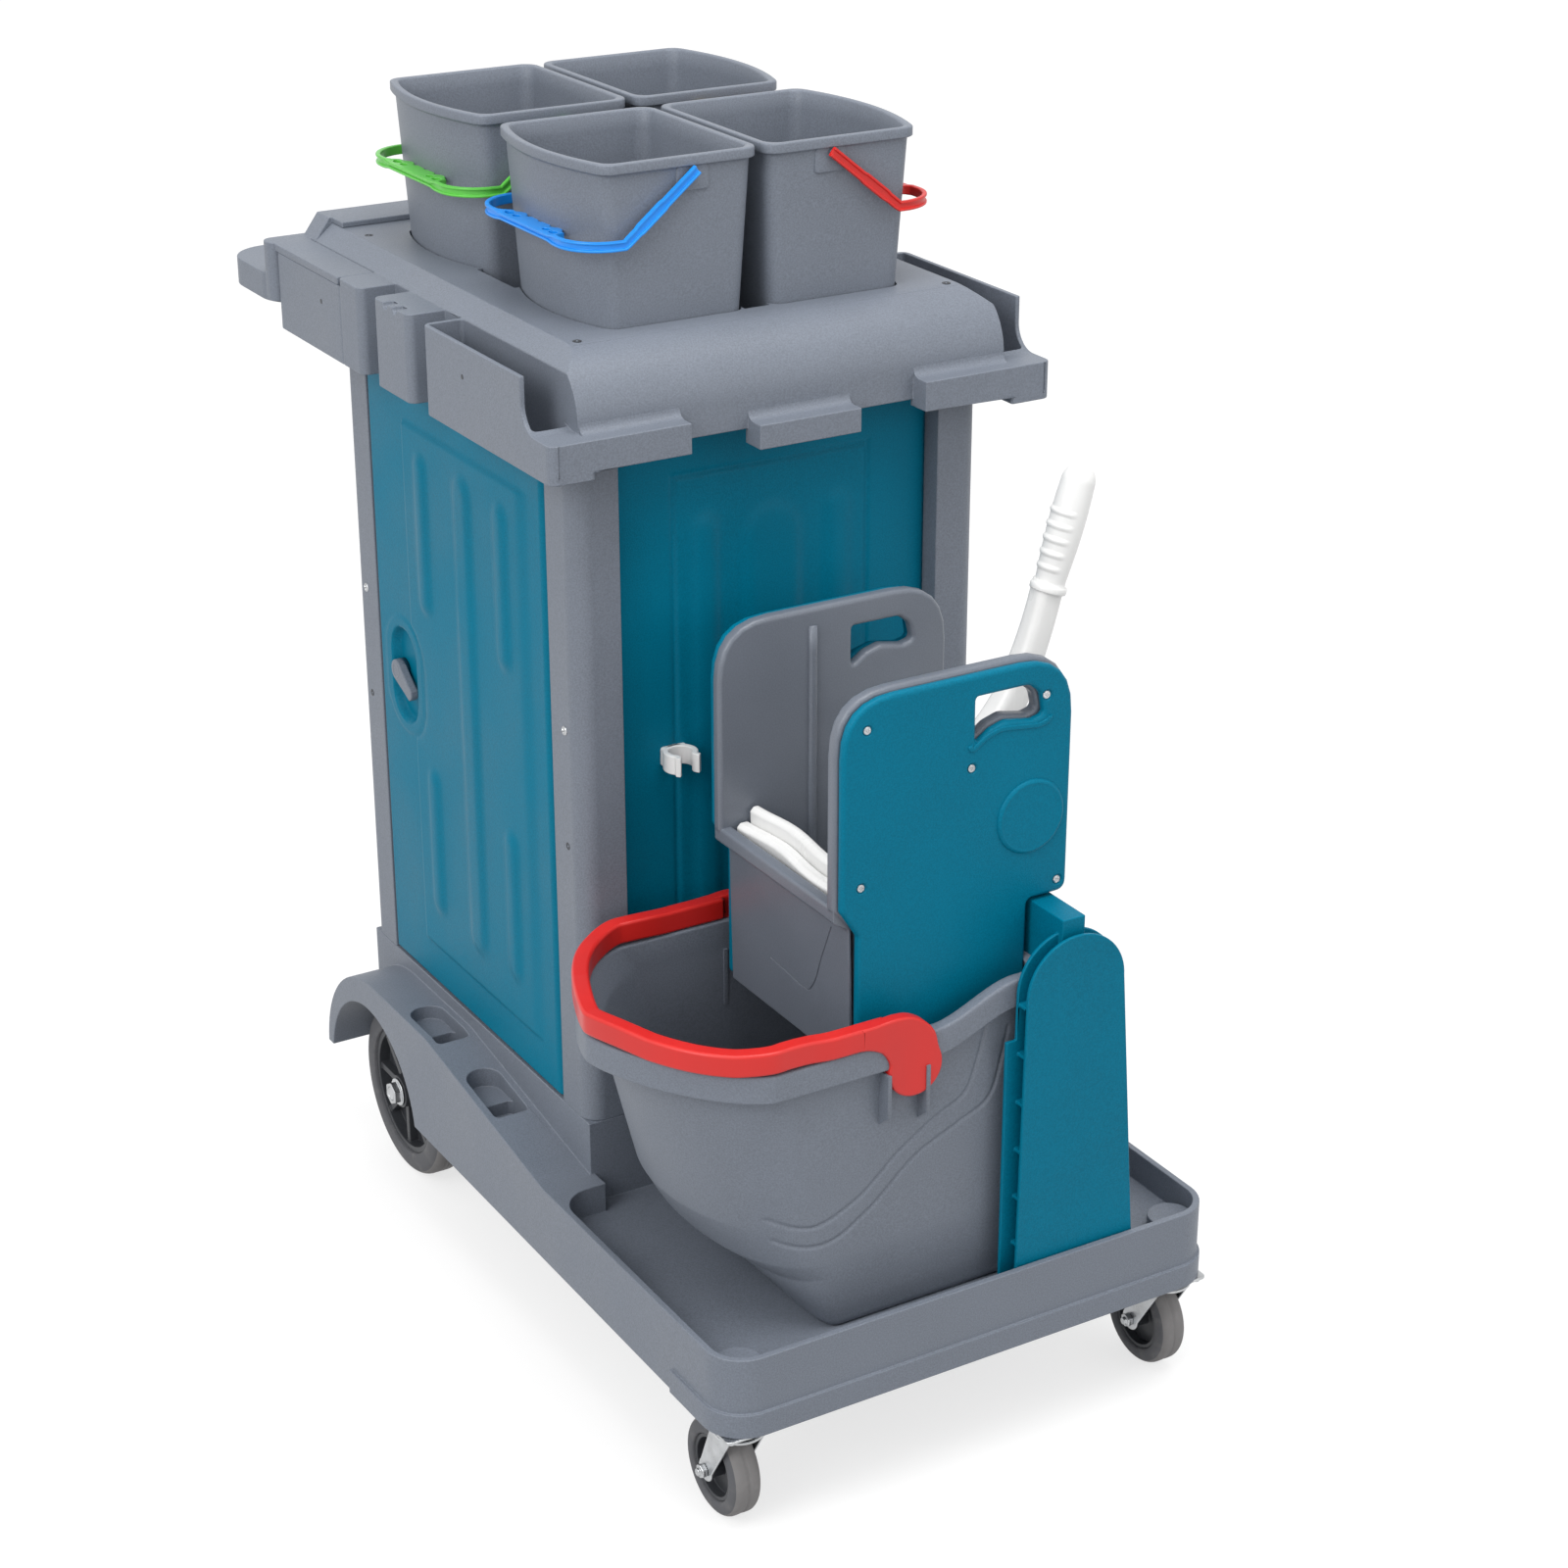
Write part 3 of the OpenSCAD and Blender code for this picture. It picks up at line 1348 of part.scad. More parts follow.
latch_cam(-1);  // latch_cam_left
latch_cam(1);  // latch_cam_right
post_screws();
tray();
tray_screws();
push_handle();
tool_clip();
pail(-1, -1);  // pail_front_left
pail(-1, 1);  // pail_rear_left
pail(1, -1);  // pail_front_right
pail(1, 1);  // pail_rear_right
bail(-1, -1, blue);  // bail_front_left
bail(-1, 1, green);  // bail_rear_left
bail(1, -1, red);  // bail_front_right
bail(1, 1, yellow);  // bail_rear_right
mop_bucket();
mop_bail();
press_body();
press_cover(0);  // press_cover_front
press_cover(1);  // press_cover_rear
cover_screws();
press_axle();
press_lever();
lever_grip();
moving_jaw();
fixed_jaw();
press_stand();
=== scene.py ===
import json
import math

import bmesh
import bpy
import numpy as np
from mathutils import Matrix, Vector


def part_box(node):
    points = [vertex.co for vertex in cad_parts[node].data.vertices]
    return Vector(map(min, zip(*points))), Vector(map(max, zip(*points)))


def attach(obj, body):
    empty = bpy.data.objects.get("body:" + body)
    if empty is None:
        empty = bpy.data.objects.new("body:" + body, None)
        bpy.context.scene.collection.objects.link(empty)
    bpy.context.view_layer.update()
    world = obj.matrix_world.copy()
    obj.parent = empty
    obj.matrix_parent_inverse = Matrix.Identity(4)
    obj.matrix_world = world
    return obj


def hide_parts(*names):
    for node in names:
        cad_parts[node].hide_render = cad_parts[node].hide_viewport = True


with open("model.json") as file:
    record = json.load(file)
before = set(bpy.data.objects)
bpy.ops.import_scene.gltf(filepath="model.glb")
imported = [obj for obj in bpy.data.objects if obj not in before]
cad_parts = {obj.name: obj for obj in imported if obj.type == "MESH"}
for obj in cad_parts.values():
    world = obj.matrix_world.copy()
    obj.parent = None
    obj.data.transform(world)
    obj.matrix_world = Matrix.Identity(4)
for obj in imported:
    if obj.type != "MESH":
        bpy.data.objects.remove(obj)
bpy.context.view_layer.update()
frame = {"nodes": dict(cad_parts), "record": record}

# Shapes are worked out in millimetres, in the CAD's own frame, and become metres where a mesh is made
MM = 0.001
CART = "cart"
SIDES = {"left": -1, "right": 1}
ENDS = {"front": -1, "rear": 1}
PLACES = [end + "_" + side for end in ENDS for side in SIDES]


# Colours

def srgb(red, green, blue):
    """A screen colour, 0 to 255, as the linear colour that a shader takes"""
    def linear(value):
        value /= 255
        return value / 12.92 if value <= 0.04045 else ((value + 0.055) / 1.055) ** 2.4
    return (linear(red), linear(green), linear(blue), 1)


GREY = srgb(103, 109, 119)
TEAL = srgb(0, 101, 127)
WHITE = srgb(224, 224, 223)
RED = srgb(200, 32, 27)
BLUE = srgb(24, 138, 228)
GREEN = srgb(92, 190, 70)
YELLOW = srgb(242, 198, 36)
DARK = srgb(52, 54, 58)
RUBBER = srgb(84, 85, 89)
TREAD = srgb(120, 118, 118)
ZINC = srgb(190, 192, 194)


# Materials

class Nodes:
    """A new material and short ways to add and join its nodes"""

    def __init__(self, name):
        self.material = bpy.data.materials.new(name)
        self.material.use_nodes = True
        self.tree = self.material.node_tree
        self.shader = self.tree.nodes["Principled BSDF"]
        self.place = self.add("ShaderNodeTexCoord").outputs["Object"]

    def add(self, kind, **settings):
        node = self.tree.nodes.new(kind)
        for key, value in settings.items():
            setattr(node, key, value)
        return node

    def join(self, output, socket):
        self.tree.links.new(output, socket)

    def noise(self, scale, detail=2.0, stretch=(1, 1, 1)):
        """Noise from 0 to 1 over the piece; scale is in cells per metre"""
        mapping = self.add("ShaderNodeMapping")
        mapping.inputs["Scale"].default_value = stretch
        self.join(self.place, mapping.inputs["Vector"])
        noise = self.add("ShaderNodeTexNoise")
        noise.inputs["Scale"].default_value = scale
        noise.inputs["Detail"].default_value = detail
        self.join(mapping.outputs["Vector"], noise.inputs["Vector"])
        return noise.outputs["Fac"]

    def ranged(self, value, low=0.3, high=0.7, to_low=0, to_high=1):
        """A value stretched from one range to another; the first range suits plain noise"""
        node = self.add("ShaderNodeMapRange")
        for socket, number in zip(node.inputs[1:5], (low, high, to_low, to_high)):
            socket.default_value = number
        self.join(value, node.inputs["Value"])
        return node.outputs["Result"]

    def mixed(self, factor, first, second):
        """A colour between two colours; the first may be an output"""
        node = self.add("ShaderNodeMix", data_type="RGBA")
        self.join(factor, node.inputs["Factor"])
        colour_sockets = node.inputs[6:8]
        for socket, colour in zip(colour_sockets, (first, second)):
            if isinstance(colour, tuple):
                socket.default_value = colour
            else:
                self.join(colour, socket)
        return node.outputs[2]

    def bump(self, height, strength, distance, below=None):
        node = self.add("ShaderNodeBump")
        node.inputs["Strength"].default_value = strength
        node.inputs["Distance"].default_value = distance
        self.join(height, node.inputs["Height"])
        if below:
            self.join(below, node.inputs["Normal"])
        return node.outputs["Normal"]


def shade(colour, factor):
    """A colour made darker or lighter"""
    return tuple(min(1, c * factor) for c in colour[:3]) + (1,)


def plastic(name, colour, rough=0.45, grain=0.6, wear=0.3, sheen=0.35):
    """Moulded plastic: soft mottling, a fine pebble grain, and faint handling scuffs"""
    look = Nodes(name)
    mottle = look.noise(9, 3)
    fine = look.noise(620, 2)
    scuff = look.ranged(look.noise(60, 4, (1, 1, 0.16)), 0.62, 0.72, 0, wear)
    base = look.mixed(look.ranged(mottle), shade(colour, 0.93), shade(colour, 1.06))
    grained = look.mixed(look.ranged(fine, to_high=grain), base, shade(colour, 1.5))
    worn = look.mixed(scuff, grained, shade(colour, 1.22))
    look.join(worn, look.shader.inputs["Base Color"])
    look.join(look.ranged(mottle, to_low=rough - 0.05, to_high=rough + 0.07), look.shader.inputs["Roughness"])
    swell = look.bump(mottle, 0.12, 0.004)
    look.join(look.bump(fine, grain, 0.0004, swell), look.shader.inputs["Normal"])
    look.shader.inputs["Specular IOR Level"].default_value = sheen
    return look.material


def gloss_plastic(name, colour, rough=0.3):
    """Smooth satin plastic with flow marks and fine scratches"""
    look = Nodes(name)
    flow = look.noise(14, 3, (1, 1, 0.5))
    scratch = look.ranged(look.noise(220, 3, (1, 1, 0.05)), 0.6, 0.75, 0, 0.25)
    base = look.mixed(look.ranged(flow), shade(colour, 0.94), shade(colour, 1.05))
    look.join(look.mixed(scratch, base, shade(colour, 1.15)), look.shader.inputs["Base Color"])
    look.join(look.ranged(flow, to_low=rough - 0.05, to_high=rough + 0.08), look.shader.inputs["Roughness"])
    look.join(look.bump(look.noise(500, 2), 0.12, 0.0003), look.shader.inputs["Normal"])
    return look.material


def zinc_metal(name):
    """Zinc plated steel: bright crystals, dull blooms and fine brushing"""
    look = Nodes(name)
    bloom = look.noise(70, 4)
    brush = look.noise(400, 3, (1, 1, 0.08))
    base = look.mixed(look.ranged(bloom), shade(ZINC, 0.8), shade(ZINC, 1.15))
    look.join(base, look.shader.inputs["Base Color"])
    look.join(look.ranged(bloom, to_low=0.24, to_high=0.42), look.shader.inputs["Roughness"])
    look.join(look.bump(brush, 0.15, 0.0003), look.shader.inputs["Normal"])
    look.shader.inputs["Metallic"].default_value = 1.0
    return look.material


def tyre_rubber(name, colour, dust):
    """Grey rubber: matt, pebbled, with pale dust in patches"""
    look = Nodes(name)
    patch = look.noise(30, 4)
    fine = look.noise(700, 3)
    base = look.mixed(look.ranged(patch, 0.35, 0.65, 0, 1), shade(colour, 0.86), shade(colour, 1.04))
    dusty = look.mixed(look.ranged(look.noise(55, 5), 0.5, 0.75, 0, 0.5), base, dust)
    look.join(dusty, look.shader.inputs["Base Color"])
    look.join(look.ranged(patch, to_low=0.62, to_high=0.8), look.shader.inputs["Roughness"])
    look.join(look.bump(fine, 0.4, 0.0005), look.shader.inputs["Normal"])
    return look.material


FINISH = {
    "grey_plastic": plastic("grey moulded plastic", GREY),
    "teal_plastic": plastic("teal moulded plastic", TEAL, rough=0.42, grain=0.5, sheen=0.1),
    "dark_plastic": plastic("dark moulded plastic", DARK, rough=0.42, grain=0.4),
    "white_plastic": gloss_plastic("white plastic", WHITE),
    "red_plastic": gloss_plastic("red plastic", RED, 0.36),
    "blue_plastic": gloss_plastic("blue plastic", BLUE),
    "green_plastic": gloss_plastic("green plastic", GREEN),
    "yellow_plastic": gloss_plastic("yellow plastic", YELLOW),
    "zinc_steel": zinc_metal("zinc plated steel"),
    "tyre_rubber": tyre_rubber("grey tyre rubber", RUBBER, TREAD),
}
press_grey = plastic("grey glossy plastic", shade(GREY, 0.95), rough=0.34, grain=0.3, sheen=0.45)
tread_rubber = tyre_rubber("worn tread rubber", TREAD, shade(TREAD, 1.25))


# CAD nodes that stay: their material, and rounded edges from modifiers

HARD_TURN = 32
CRISP_TURN = 55
CAD_EDGE = 1.2
SLOTS = {part["node"]: part["material_slot"] for part in frame["record"]["subparts"]}


def even_shading(piece):
    """Keeps flat faces flat beside their rounded edges"""
    normals = piece.modifiers.new("even shading", "WEIGHTED_NORMAL")
    normals.weight = 60
    normals.keep_sharp = True
    return piece


def soften(piece, width, segments=3, merged=True):
    """Rounds a piece's hard edges without touching its own mesh; merged joins its flat faces first"""
    weld = piece.modifiers.new("weld", "WELD")
    weld.merge_threshold = 0.02 * MM
    if merged:
        flat = piece.modifiers.new("flat faces", "DECIMATE")
        flat.decimate_type = "DISSOLVE"
        flat.angle_limit = math.radians(0.4)
    bevel = piece.modifiers.new("round edges", "BEVEL")
    bevel.width = width * MM
    bevel.segments = segments
    bevel.limit_method = "ANGLE"
    bevel.angle_limit = math.radians(HARD_TURN)
    bevel.use_clamp_overlap = False
    bevel.miter_outer = "MITER_ARC"
    even_shading(piece)


def smooth(piece):
    polygons = piece.data.polygons
    polygons.foreach_set("use_smooth", [True] * len(polygons))


def dress(node):
    """A CAD node with its finish and softened edges"""
    piece = frame["nodes"][node]
    piece.data.materials.clear()
    piece.data.materials.append(FINISH[SLOTS[node]])
    smooth(piece)
    soften(piece, CAD_EDGE)


for name in frame["nodes"]:
    dress(name)


# Mesh helpers

def whole_turn(count):
    """Angles round a circle"""
    return np.linspace(0, 2 * math.pi, count, endpoint=False)


TURN = whole_turn(24)


def span(node):
    """Lowest and highest corner of a CAD node, in millimetres"""
    low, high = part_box(node)
    return np.array(low) / MM, np.array(high) / MM


def middle_of(node):
    """Middle of a CAD node's box, in millimetres"""
    low, high = span(node)
    return (low + high) / 2


def settle(piece, slot, body, nodes=(), finish=None):
    """Slot and finish of a new piece, the body that it rides on, and the CAD nodes that it stands for"""
    piece.data.materials.clear()
    piece.data.materials.append(finish or FINISH[slot])
    smooth(piece)
    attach(piece, body)
    if nodes:
        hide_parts(*nodes)


def new_object(name, mesh):
    piece = bpy.data.objects.new(name, mesh)
    bpy.context.collection.objects.link(piece)
    return piece


def mesh_object(name, parts):
    """One object from several (points in millimetres, faces) parts"""
    points, faces = [], []
    for part_points, part_faces in parts:
        start = len(points)
        points += [tuple(p) for p in np.asarray(part_points, float) * MM]
        faces += [tuple(start + i for i in face) for face in part_faces]
    mesh = bpy.data.meshes.new(name)
    mesh.from_pydata(points, [], faces)
    work = bmesh.new()
    work.from_mesh(mesh)
    bmesh.ops.recalc_face_normals(work, faces=work.faces)
    work.to_mesh(mesh)
    work.free()
    return new_object(name, mesh)


def loft(rings):
    """A skin over rings of equal length, closed at both ends"""
    rings = np.asarray(rings, float)
    count, size = rings.shape[:2]
    faces = [
        (row + i, row + (i + 1) % size, row + size + (i + 1) % size, row + size + i)
        for row in range(0, (count - 1) * size, size) for i in range(size)
    ]
    faces.append(tuple(range(size)))
    faces.append(tuple(range((count - 1) * size, count * size)))
    return rings.reshape(-1, 3), faces


def unit(vectors):
    return vectors / np.linalg.norm(vectors, axis=-1, keepdims=True)


def sweep(path, sections, reference):
    """A skin of sections set square to a path; a section is (across, along the reference) points"""
    path = np.asarray(path, float)
    ahead = unit(np.gradient(path, axis=0))
    across = unit(np.cross(ahead, reference))
    upward = np.cross(across, ahead)
    rings = [
        p + np.outer(np.asarray(s)[:, 0], a) + np.outer(np.asarray(s)[:, 1], u)
        for p, a, u, s in zip(path, across, upward, sections)
    ]
    return loft(rings)


def bar(path, section, reference):
    """A sweep of one section"""
    return sweep(path, [section] * len(path), reference)


def rounded(width, height, radius, steps=5):
    """Points of a rectangle with round corners, about its middle"""
    corners = ((1, 1, 0), (-1, 1, 90), (-1, -1, 180), (1, -1, 270))
    points = []
    for x, y, start in corners:
        for angle in np.radians(start + np.linspace(0, 90, steps)):
            points.append((
                x * (width / 2 - radius) + radius * math.cos(angle),
                y * (height / 2 - radius) + radius * math.sin(angle),
            ))
    return points


def curved(points, count):
    """A smooth run of points through a few given ones"""
    points = np.asarray(points, float)
    knots = np.concatenate([[0], np.cumsum(np.linalg.norm(np.diff(points, axis=0), axis=1))])
    slopes = np.gradient(points, knots, axis=0)
    result = []
    for t in np.linspace(0, knots[-1], count):
        i = min(max(np.searchsorted(knots, t) - 1, 0), len(knots) - 2)
        gap = knots[i + 1] - knots[i]
        s = (t - knots[i]) / gap
        result.append(
            (2 * s ** 3 - 3 * s ** 2 + 1) * points[i] + (s ** 3 - 2 * s ** 2 + s) * gap * slopes[i]
            + (3 * s ** 2 - 2 * s ** 3) * points[i + 1] + (s ** 3 - s ** 2) * gap * slopes[i + 1]
        )
    return np.array(result)


def eased(value):
    """0 below 0, 1 above 1, and a smooth step between"""
    value = np.clip(value, 0, 1)
    return value * value * (3 - 2 * value)


def within(value, low, high, soft):
    """1 between low and high, 0 outside them, with soft steps"""
    return eased((value - low) / soft) * eased((high - value) / soft)


def pill_distance(across, up, middle, low, high, radius):
    """Distance outside an upright pill"""
    along = up - np.clip(up, low + radius, high - radius)
    return np.hypot(across - middle, along) - radius


def rolled(distance, radius):
    """How far a rounded edge falls away at a distance from the edge"""
    left = np.clip(radius - distance, 0, radius)
    return radius - np.sqrt(radius ** 2 - left ** 2)


def stations(low, high, step, fine):
    """Positions from low to high, set closer inside the fine windows, which are (from, to, step)"""
    values = [low]
    while values[-1] < high:
        close = [gap for a, b, gap in fine if a - step < values[-1] < b]
        values.append(values[-1] + min(close, default=step))
    values[-1] = high
    return np.array(values)


def slab(across, up, front, back, place):
    """A closed slab between a front and a back relief over a grid"""
    grid_a, grid_u = np.meshgrid(across, up, indexing="ij")
    outer = place(grid_a, grid_u, front(grid_a, grid_u)).reshape(-1, 3)
    inner = place(grid_a, grid_u, back(grid_a, grid_u)).reshape(-1, 3)
    rows, columns = grid_a.shape
    total = rows * columns
    faces = []
    for i in range(rows - 1):
        for j in range(columns - 1):
            a = i * columns + j
            quad = (a, a + 1, a + columns + 1, a + columns)
            faces.append(quad)
            faces.append(tuple(total + k for k in reversed(quad)))
    rim = [i * columns for i in range(rows)]
    rim += [(rows - 1) * columns + j for j in range(1, columns)]
    rim += [i * columns + columns - 1 for i in range(rows - 2, -1, -1)]
    rim += list(range(columns - 2, 0, -1))
    for a, b in zip(rim, rim[1:] + rim[:1]):
        faces.append((a, b, total + b, total + a))
    return np.concatenate([outer, inner]), faces


def crossways(section, x0, x1):
    """A prism from x0 to x1 with a section of (y, z) points"""
    return loft([[(x, y, z) for y, z in section] for x in (x0, x1)])


def upright(plan, z0, z1):
    """A prism from z0 to z1 over a plan of (x, y) points"""
    return loft([[(x, y, z) for x, y in plan] for z in (z0, z1)])


def peg(x, z, profile):
    """A round peg along the cart about (x, z): profile is (radius, y) pairs"""
    return loft([
        np.column_stack([x + r * np.cos(TURN), np.full(len(TURN), y), z + r * np.sin(TURN)])
        for r, y in profile
    ])


def oblong(x0, x1, y0, y1):
    """The four corners of a rectangle"""
    return [(x0, y0), (x1, y0), (x1, y1), (x0, y1)]


def carve(piece, cutters):
    """Cuts closed shapes out of a piece and keeps the result as its mesh"""
    tool = mesh_object("cutter", cutters)
    cut = piece.modifiers.new("cut", "BOOLEAN")
    cut.object = tool
    cut.solver = "EXACT"
    graph = bpy.context.evaluated_depsgraph_get()
    graph.update()
    piece.data = bpy.data.meshes.new_from_object(piece.evaluated_get(graph))
    piece.modifiers.clear()
    bpy.data.objects.remove(tool)


def carved(mesh, cutters):
    """A mesh with closed shapes cut out of it"""
    blank = new_object("blank", mesh)
    carve(blank, cutters)
    mesh = blank.data
    bpy.data.objects.remove(blank)
    return mesh


def crisp(piece):
    """Keeps a piece's sharp turns sharp"""
    piece.data.set_sharp_from_angle(angle=math.radians(CRISP_TURN))
    return even_shading(piece)


def square_to(axis, askew):
    """An axis and two directions square to it; askew is a direction off the axis that turns them"""
    axis = np.array(axis, float)
    side = unit(np.cross(axis, askew))
    return axis, side, np.cross(axis, side)


def disc(centre, axis, profile, count=32):
    """A turned shape about an axis: profile is (radius, distance along the axis) pairs"""
    axis, side, other = square_to(axis, (0.3, 0.5, 0.8))
    angles = whole_turn(count)
    spokes = np.outer(np.cos(angles), side) + np.outer(np.sin(angles), other)
    return loft([np.array(centre) + spokes * radius + axis * along for radius, along in profile])


def rounded_outline(corners, steps=7):
    """A closed outline through (x, y, radius) corners, each corner turned into an arc"""
    corners = [np.array(c, float) for c in corners]
    points = []
    for before, here, after in zip(corners[-1:] + corners[:-1], corners, corners[1:] + corners[:1]):
        back = unit(before[:2] - here[:2])
        ahead = unit(after[:2] - here[:2])
        half_turn = math.acos(np.clip(back @ ahead, -1, 1)) / 2
        reach = here[2] / math.tan(half_turn)
        start, stop = here[:2] + back * reach, here[:2] + ahead * reach
        for t in np.linspace(0, 1, steps if here[2] > 0.5 else 1):
            points.append((1 - t) ** 2 * start + 2 * t * (1 - t) * here[:2] + t ** 2 * stop)
    return points


def plate(outlines, thick, edge, place):
    """Mesh of a flat plate with rounded rims; the first outline is its rim, the others are holes"""
    curve = bpy.data.curves.new("plate", "CURVE")
    curve.dimensions = "2D"
    curve.fill_mode = "BOTH"
    curve.extrude = (thick / 2 - edge) * MM
    curve.bevel_depth = edge * MM
    curve.bevel_resolution = 3
    curve.offset = -edge * MM
    for outline in outlines:
        spline = curve.splines.new("POLY")
        spline.points.add(len(outline) - 1)
        for point, (x, y) in zip(spline.points, outline):
            point.co = (x * MM, y * MM, 0, 1)
        spline.use_cyclic_u = True
    source = new_object("plate", curve)
    graph = bpy.context.evaluated_depsgraph_get()
    graph.update()
    mesh = bpy.data.meshes.new_from_object(source.evaluated_get(graph))
    bpy.data.objects.remove(source)
    mesh.transform(place)
    return mesh


def facing_front(y):
    """Places an outline drawn in X and Z at a station along the cart"""
    return Matrix(((1, 0, 0, 0), (0, 0, -1, y * MM), (0, 1, 0, 0), (0, 0, 0, 1)))


def facing_side(x):
    """Places an outline drawn in Y and Z at a station across the cart"""
    return Matrix(((0, 0, 1, x * MM), (1, 0, 0, 0), (0, 1, 0, 0), (0, 0, 0, 1)))


def joined(name, meshes, parts=()):
    """One object from several meshes and (points, faces) parts"""
    work = bmesh.new()
    for mesh in meshes:
        work.from_mesh(mesh)
    if parts:
        extra = mesh_object("extra", parts)
        work.from_mesh(extra.data)
        bpy.data.objects.remove(extra)
    bmesh.ops.remove_doubles(work, verts=work.verts, dist=0.01 * MM)
    bmesh.ops.recalc_face_normals(work, faces=work.faces)
    mesh = bpy.data.meshes.new(name)
    work.to_mesh(mesh)
    work.free()
    return new_object(name, mesh)


# Doors and fixed panels: moulded sheets with soft pressed shapes

CENTRE_X = middle_of("front_panel")[0]
EDGE_R = 4.0
FIELD_RISE = 3.0
PILL_RISE = 3.6
PILL_SOFT = 13.0
STEP_SOFT = 6.0
DOOR_T = 22.0
DOOR_HOLLOW = 13.0
DISH_DEEP = 10.0
RING_RISE = 1.2
PANEL_T = 8.0
LINE_DEEP = 1.4
LINE_W = 2.6


def pill_relief(across, up, pills):
    """Height of the pressed pills"""
    height = np.zeros_like(across)
    for middle, low, high, radius in pills:
        distance = pill_distance(across, up, middle, low, high, radius)
        height = np.maximum(height, PILL_RISE * eased(-distance / PILL_SOFT))
    return height


def edges_away(across, up, box, radii):
    """Fall of all four edges of a slab: left, right, low and high"""
    left, right, low, high = box
    fall = rolled(across - left, radii[0])
    fall = np.maximum(fall, rolled(right - across, radii[1]))
    fall = np.maximum(fall, rolled(up - low, radii[2]))
    return np.maximum(fall, rolled(high - up, radii[3]))


def door(side_name):
    """A door with its raised field, five pills, and the dish that the latch sits in"""
    node = "door_" + side_name
    low, high = span(node)
    side = SIDES[side_name]
    back_x = high[0] if side < 0 else low[0]
    face_x = back_x + side * DOOR_T
    y0, y1, z0, z1 = low[1], high[1], low[2], high[2]
    columns = (158, 60, -26)
    upper = (z0 + 438, z1 - 74)
    lower = (z0 + 92, z0 + 268)
    pills = [(columns[1], lower[0] - 6, upper[1] + 4, 23)]
    for column in (columns[0], columns[2]):
        pills.append((column, *upper, 18))
        pills.append((column, *lower, 18))
    field = (-84, y1 - 84, z0 + 46, z1 - 50)
    dish = (y1 - 63, z0 + 296, z0 + 404, 31)
    ring = (dish[0], dish[1] - 14, dish[2] + 14, 50)
    round_r = DOOR_T / 2 - 0.02

    def front(y, z):
        raised = eased((y - field[0]) / 24) * eased((field[1] - y) / STEP_SOFT)
        raised *= within(z, field[2], field[3], STEP_SOFT)
        raised *= eased(pill_distance(y, z, *ring) / STEP_SOFT)
        height = FIELD_RISE * raised + pill_relief(y, z, pills) * raised
        height += RING_RISE * eased(-pill_distance(y, z, *ring) / 5)
        height -= DISH_DEEP * eased(-pill_distance(y, z, *dish) / 3.2)
        return height - edges_away(y, z, (y0, y1, z0, z1), (round_r, EDGE_R, EDGE_R, EDGE_R))

    def back(y, z):
        hollow = within(y, y0 + 34, y1 - 104, 5) * within(z, z0 + 12, z1 - 12, 5)
        for rib_z in np.linspace(z0, z1, 6)[1:-1]:
            hollow *= eased((np.abs(z - rib_z) - 2) / 3)
        fall = edges_away(y, z, (y0, y1, z0, z1), (round_r, EDGE_R, EDGE_R, EDGE_R))
        return -DOOR_T + DOOR_HOLLOW * hollow + fall

    def place(y, z, out):
        return np.stack([face_x + side * out, y, z], axis=-1)

    across = stations(y0, y1, 5, [(y0, y0 + 14, 1), (field[1] - 8, y1 - 20, 2), (y1 - 5, y1, 0.8)])
    up = stations(z0, z1, 5, [
        (z0, z0 + 5, 0.8), (field[2] - 1, field[2] + 8, 2), (dish[1] - 18, dish[1] + 36, 2),
        (dish[2] - 36, dish[2] + 18, 2), (field[3] - 8, field[3] + 1, 2), (z1 - 5, z1, 0.8),
    ])
    piece = mesh_object("moulded_door_" + side_name, [slab(across, up, front, back, place)])
    settle(piece, "teal_plastic", node, [node])


def fixed_panel(end_name):
    """A fixed cabinet panel with a raised field and three pills"""
    node = end_name + "_panel"
    low, high = span(node)
    out = ENDS[end_name]
    back_y = high[1] if out < 0 else low[1]
    face_y = back_y + out * PANEL_T
    half = (high[0] - low[0]) / 2
    z0, z1 = low[2], high[2]
    field = (-110, 110, z0 + 60, z1 - 52)
    pills = [(0, field[2] + 40, field[3] - 38, 37)]
    for middle in (-75, 75):
        pills.append((middle, field[2] + 40, field[3] - 38, 19))

    def front(x, z):
        raised = within(x, field[0], field[1], STEP_SOFT)
        raised *= within(z, field[2], field[3], STEP_SOFT)
        aside = np.abs(x) - field[1]
        above = np.abs(z - (field[2] + field[3]) / 2) - (field[3] - field[2]) / 2
        height = raised - LINE_DEEP * np.exp(-(np.maximum(aside, above) / LINE_W) ** 2)
        return height + pill_relief(x, z, pills) - edges_away(x, z, (-half, half, z0, z1), (2, 2, 2, 2))

    def back(x, z):
        return np.full_like(x, -PANEL_T)

    def place(x, z, height):
        return np.stack([CENTRE_X + x, face_y + out * height, z], axis=-1)

    across = stations(-half, half, 5, [(field[0] - 8, field[0] + 8, 1.6), (field[1] - 8, field[1] + 8, 1.6)])
    up = stations(z0, z1, 5, [(field[2] - 8, field[2] + 8, 1.6), (field[3] - 8, field[3] + 8, 1.6)])
    piece = mesh_object("moulded_panel_" + end_name, [slab(across, up, front, back, place)])
    settle(piece, "teal_plastic", CART, [node])


for name in SIDES:
    door(name)
for name in ENDS:
    fixed_panel(name)


# Small buckets and their bails

PAIL_L = 218.0
PAIL_LIP = 4.0
PAIL_DRAFT = 11.0
PAIL_WALL = 3.0
PAIL_BULGE = 20.0
PAIL_R = 15.0
